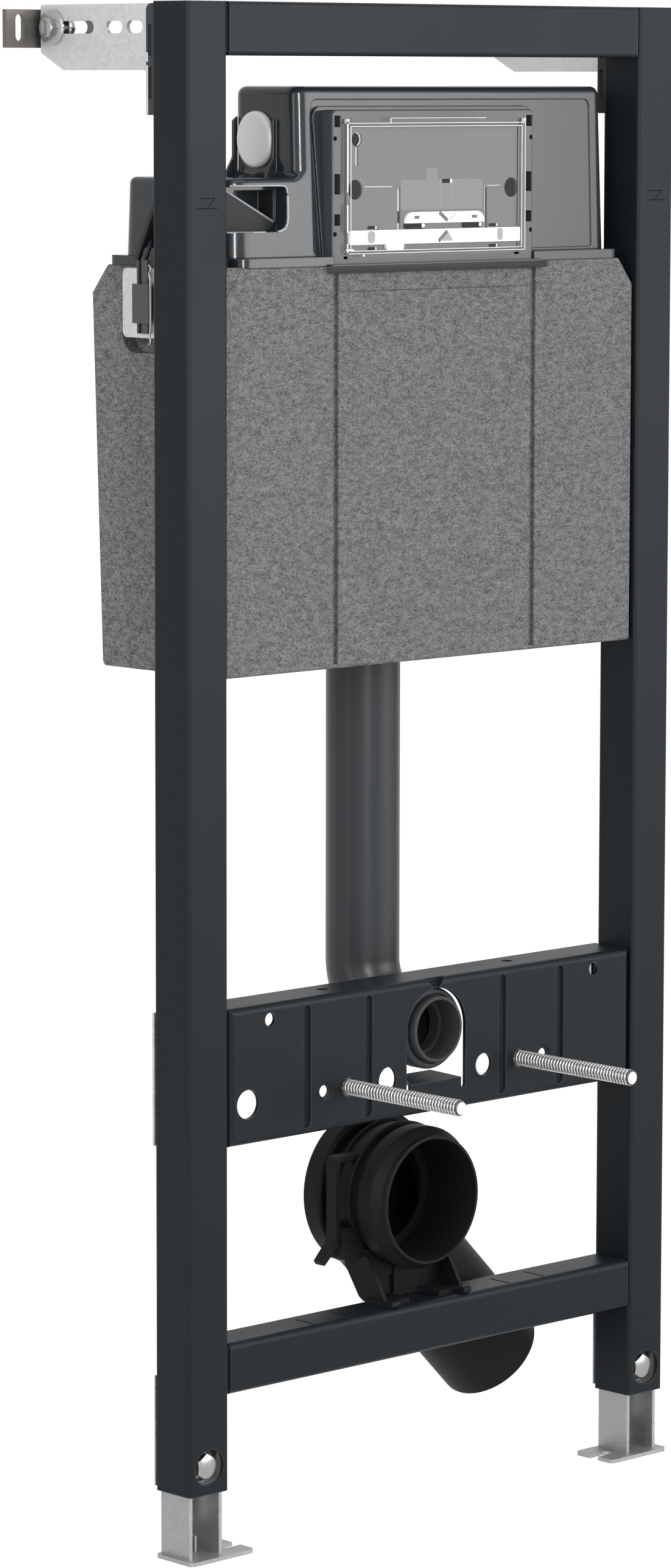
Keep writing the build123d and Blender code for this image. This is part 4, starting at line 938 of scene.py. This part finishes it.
FOAM_CORNER = polygon((-209.3, 917.9), (-194.3, 937.9), (-209.3, 937.9))
FOAM_DEPTHS = (4.25, 14.0)
SLOT_MIDDLES = (-121.0, -84.0, 84.0, 121.0)
SLOT_HALF_WIDTH = 1.0
SLOT_REACH = (4.9, 26.1)
# How far below the lower bar's top the painted shade in a slot begins and ends
SLOT_SHADE = (0.2, 1.2)
EDGE_HEIGHTS = ((1046.5, 1081.0), (1083.5, 1090.0))
# How far before the carrier's rear the light edge begins and ends, and how far it stands out
EDGE_REACH = (2.3, 0.1)
EDGE_PROUD = 0.3


class TOILETFRAME_OT_small_details(bpy.types.Operator):
    """Make the foam's front corner, the painted shade in the lower bar's slots and the bracket's
    edge
    """

    bl_idname = "toilet_frame.small_details"
    bl_label = "Small details"

    def execute(self, context):
        front_pieces("foam_corner", [(FOAM_CORNER, *FOAM_DEPTHS)], "insulation_foam")
        _, (_, _, top) = drawn_box("lower_bar")
        painted_shade = oblong(*SLOT_REACH, top - SLOT_SHADE[1], top - SLOT_SHADE[0])
        slots = [(painted_shade, x - SLOT_HALF_WIDTH, x + SLOT_HALF_WIDTH) for x in SLOT_MIDDLES]
        side_pieces("bar_slot_depths", slots, "dark_gap")
        (face, _, _), (_, rear, _) = drawn_box("bracket_carrier_left")
        edges = [(oblong(rear - EDGE_REACH[0], rear - EDGE_REACH[1], *heights),
                  face, face - EDGE_PROUD) for heights in EDGE_HEIGHTS]
        side_pieces("bracket_edge", edges, "galvanised")
        return {"FINISHED"}


# Outlines of y and z, and how far from the middle the shapes begin and end
HANGER_ARM = polygon((98.0, 941.0), (93.0, 941.0), (70.5, 986.0), (70.5, 999.5), (75.0, 999.5),
                     (75.0, 987.5))
HANGER_RIB = polygon((88.5, 941.0), (85.5, 941.0), (80.5, 951.0), (80.5, 956.5))
HANGER_HOOK = polygon((70.5, 996.0), (70.5, 999.5), (75.0, 999.5), (75.0, 996.0))
ARM_INNER = 212.2
ARM_OUTER = 215.4
RIB_OUTER = 214.4
HOOK_INNER = 197.0
ARM_EDGE = 0.35
SHEET_FRONT = 45.0
SHEET_ROUND = 5.0
WIRE_X = 216.4
WIRE_RADIUS = 0.75
WIRE_BENDS = (
    (79.2, 938.4), (77.4, 937.4), (77.2, 935.0), (78.8, 933.0), (78.6, 930.5), (77.6, 928.0),
    (77.6, 910.0), (77.6, 892.0), (78.4, 889.0), (78.6, 886.5), (77.2, 884.5), (77.4, 882.4),
    (79.0, 881.6))


class TOILETFRAME_OT_hanger_details(bpy.types.Operator):
    """Make the leaning arm, the hanger sheet and the spring wire at each side of the cistern"""

    bl_idname = "toilet_frame.hanger_details"
    bl_label = "Hanger details"

    def execute(self, context):
        for side, sign in SIDES:
            inner = sign * ARM_INNER
            shapes = [(HANGER_ARM, inner, sign * ARM_OUTER), (HANGER_RIB, inner, sign * RIB_OUTER),
                      (HANGER_HOOK, sign * HOOK_INNER, inner)]
            side_pieces("hanger_arm_" + side, shapes, "arm_plastic", ARM_EDGE)
            (left, _, bottom), (right, rear, top) = drawn_box("hanger_panel_" + side)
            sheet = oblong(SHEET_FRONT, rear, bottom, top, SHEET_ROUND)
            plate = side_pieces("hanger_sheet_" + side, [(sheet, left, right)], "galvanised")
            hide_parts("hanger_panel_" + side)
            tube_piece("spring_wire_" + side, [(sign * WIRE_X, y, z) for y, z in WIRE_BENDS],
                       WIRE_RADIUS, "plated_zinc")
        return {"FINISHED"}


# The opening's lip and the pocket's floor are overlays in painted shade; the pocket's lips are
# rounded tubes in a painted highlight
OPENING_LIP = oblong(-113.6, 113.6, 932.3, 937.3, 1.6)
LIP_DEPTHS = (0.3, 0.78)
LIP_EDGE = 0.2
POCKET_FLOOR = polygon((-192.0, 963.0), (-148.0, 963.0), (-140.6, 968.0), (-140.4, 969.0),
                       (-191.0, 994.0))
POCKET_DEPTHS = (29.6, 29.98)
# Each lip with a painted highlight, the points that it follows and its radius
POCKET_LIPS = (
    ("pocket_ridge", ((-190.5, 29.4, 993.6), (-166.0, 29.4, 981.6), (-140.8, 29.4, 969.3)), 0.9),
    ("pocket_roof_lip", ((-191.0, 21.0, 995.6), (-184.0, 18.2, 995.6), (-160.0, 18.0, 995.6),
                         (-142.0, 18.0, 995.6), (-138.2, 17.6, 994.6), (-137.8, 17.4, 990.0)), 0.8),
    ("pocket_side_lip", ((-137.8, 17.2, 988.0), (-137.8, 16.9, 978.0), (-137.8, 16.8, 969.0),
                         (-141.0, 16.7, 963.4), (-148.0, 16.7, 962.4)), 1.0),
    ("pocket_floor_lip", ((-160.0, 16.7, 962.4), (-176.0, 17.2, 962.4), (-186.0, 19.6, 962.4),
                          (-191.0, 24.0, 962.4)), 0.7),
)


class TOILETFRAME_OT_cistern_details(bpy.types.Operator):
    """Make the lip below the opening and the pocket's floor in painted shade, and the pocket's
    rounded lips in a painted highlight
    """

    bl_idname = "toilet_frame.cistern_details"
    bl_label = "Cistern details"

    def execute(self, context):
        lip = [(OPENING_LIP, *LIP_DEPTHS)]
        floor = [(POCKET_FLOOR, *POCKET_DEPTHS)]
        front_pieces("opening_lip", lip, "lip_shade", LIP_EDGE)
        front_pieces("pocket_floor", floor, "pocket_shade")
        for name, points, radius in POCKET_LIPS:
            tube_piece(name, points, radius, "edge_shine")
        return {"FINISHED"}


# How far the floor lies below the feet at rest, so that feet which are drawn out still show
LOWEST_FOOT = 150.5
FLOOR_REACH = 14.0
# What part of the floor is pure white to the eye
FLOOR_WHITE = 0.88
SENSOR_WIDTH = 36.0
FAR_CLIP = 60.0
# What the lamps look at, in drawn millimetres
LAMP_TARGET = (0, 60, 560)
# Each lamp, its place from the target and its size in metres, the setting with its power, how
# many times that power it has, and whether only glossy faces are lit by it
LAMPS = (
    ("key_light", (1.6, -3.0, 1.1), (2.4, 2.4), "key_power", 1.0, False),
    ("front_card", (2.2, -3.05, 0.6), (2.6, 2.4), "card_power", 1.0, True),
    ("fill_light", (-3.6, -0.6, 0.9), (2.0, 2.4), "fill_power", 1.0, False),
    ("strip_light", (-1.5, -2.5, 0.9), (0.16, 1.8), "strip_power", 1.0, False),
    ("strip_card", (-1.5, -2.52, 0.9), (0.1, 2.0), "strip_power", 2.2, True),
    ("top_light", (0.0, -0.4, 3.0), (2.6, 2.0), "top_power", 1.0, False),
)


class TOILETFRAME_OT_stage(bpy.types.Operator):
    """Set the floor, the soft lights and the camera"""

    bl_idname = "toilet_frame.stage"
    bl_label = "Stage"

    def add_floor(self, scene):
        z = at(0, 0, -LOWEST_FOOT).z
        mesh = bpy.data.meshes.new("studio_floor")
        corners = ((-1, -1), (1, -1), (1, 1), (-1, 1))
        mesh.from_pydata([(x * FLOOR_REACH, y * FLOOR_REACH, z) for x, y in corners], [],
                         [(0, 1, 2, 3)])
        floor = bpy.data.objects.new("studio_floor", mesh)
        scene.collection.objects.link(floor)
        graph, shader = new_material(
            "studio_floor", Base_Color=(0.8, 0.8, 0.8, 1.0), Roughness=0.9)
        pale = graph.add("ShaderNodeEmission", Color=(1.0, 1.0, 1.0, 1.0), Strength=1.1)
        blend = graph.add("ShaderNodeMixShader")
        graph.join(blend.inputs[0], graph.maths("MULTIPLY", graph.seen_by_eye(), FLOOR_WHITE))
        graph.join(blend.inputs[1], shader.outputs[0])
        graph.join(blend.inputs[2], pale.outputs[0])
        graph.feed(graph.tree.nodes["Material Output"], "Surface", blend.outputs[0])
        mesh.materials.append(bpy.data.materials["studio_floor"])

    def add_room(self, scene, strength):
        """White to the eye, and dimmer as a light."""
        world = bpy.data.worlds.new("studio_room")
        scene.world = world
        world.use_nodes = True
        graph = NodeTree(world.node_tree)
        background = world.node_tree.nodes["Background"]
        seen = graph.seen_by_eye()
        graph.feed(background, "Color", (1.0, 1.0, 1.0, 1.0))
        graph.feed(background, "Strength",
                   graph.maths("MULTIPLY_ADD", seen, 1.0 - strength, strength))

    def add_lamps(self, scene, settings):
        target = at(*LAMP_TARGET)
        for name, offset, size, power, gain, glossy_only in LAMPS:
            data = bpy.data.lights.new(name, "AREA")
            data.shape = "RECTANGLE"
            data.size, data.size_y = size
            data.energy = getattr(settings, power) * gain
            lamp = bpy.data.objects.new(name, data)
            lamp.location = target + Vector(offset)
            lamp.rotation_euler = (-Vector(offset)).to_track_quat("-Z", "Y").to_euler()
            lamp.visible_diffuse = not glossy_only
            lamp.visible_transmission = not glossy_only
            scene.collection.objects.link(lamp)

    def add_camera(self, scene, settings):
        data = bpy.data.cameras.new("photo_camera")
        data.lens = settings.focal_length
        data.sensor_width = SENSOR_WIDTH
        data.clip_end = FAR_CLIP
        camera = bpy.data.objects.new("photo_camera", data)
        scene.collection.objects.link(camera)
        heading, pitch = settings.heading, settings.pitch
        forward = Vector((math.sin(heading) * math.cos(pitch), math.cos(heading) * math.cos(pitch),
                          -math.sin(pitch)))
        level = forward.to_track_quat("-Z", "Y").to_matrix()
        camera.location = settings.camera_place
        camera.rotation_euler = (level @ Matrix.Rotation(settings.roll, 3, "Z")).to_euler()
        scene.camera = camera

    def execute(self, context):
        scene = context.scene
        settings = scene.toilet_frame_studio
        self.add_floor(scene)
        self.add_room(scene, settings.world_strength)
        self.add_lamps(scene, settings)
        self.add_camera(scene, settings)
        scene.view_settings.view_transform = "Standard"
        return {"FINISHED"}


class TOILETFRAME_PT_panel(bpy.types.Panel):
    """Lists the steps that finish the frame"""

    bl_idname = "TOILETFRAME_PT_panel"
    bl_label = "Toilet Frame"
    bl_space_type = "VIEW_3D"
    bl_region_type = "UI"
    bl_category = "Toilet Frame"

    def draw(self, context):
        column = self.layout.column()
        for operator in OPERATORS:
            column.operator(operator.bl_idname)
        for group_name, kind in GROUPS.items():
            box = self.layout.box()
            for name in kind.__annotations__:
                box.prop(getattr(context.scene, group_name), name)


OPERATORS = (
    TOILETFRAME_OT_stage, TOILETFRAME_OT_finishes, TOILETFRAME_OT_pan_studs, TOILETFRAME_OT_bolts,
    TOILETFRAME_OT_level_marks, TOILETFRAME_OT_opening_details, TOILETFRAME_OT_cover_edges,
    TOILETFRAME_OT_small_details, TOILETFRAME_OT_hanger_details, TOILETFRAME_OT_cistern_details,
)
GROUPS = {
    "toilet_frame_colours": FinishColours,
    "toilet_frame_studio": StudioSettings,
    "toilet_frame_fasteners": FastenerSizes,
}
CLASSES = (*GROUPS.values(), *OPERATORS, TOILETFRAME_PT_panel)


def register():
    for kind in CLASSES:
        bpy.utils.register_class(kind)
    for name, kind in GROUPS.items():
        setattr(bpy.types.Scene, name, bpy.props.PointerProperty(type=kind))


def unregister():
    for name in GROUPS:
        delattr(bpy.types.Scene, name)
    for kind in reversed(CLASSES):
        bpy.utils.unregister_class(kind)


def main():
    register()
    for operator in OPERATORS:
        area, name = operator.bl_idname.split(".")
        getattr(getattr(bpy.ops, area), name)()


if __name__ == "__main__":
    main()
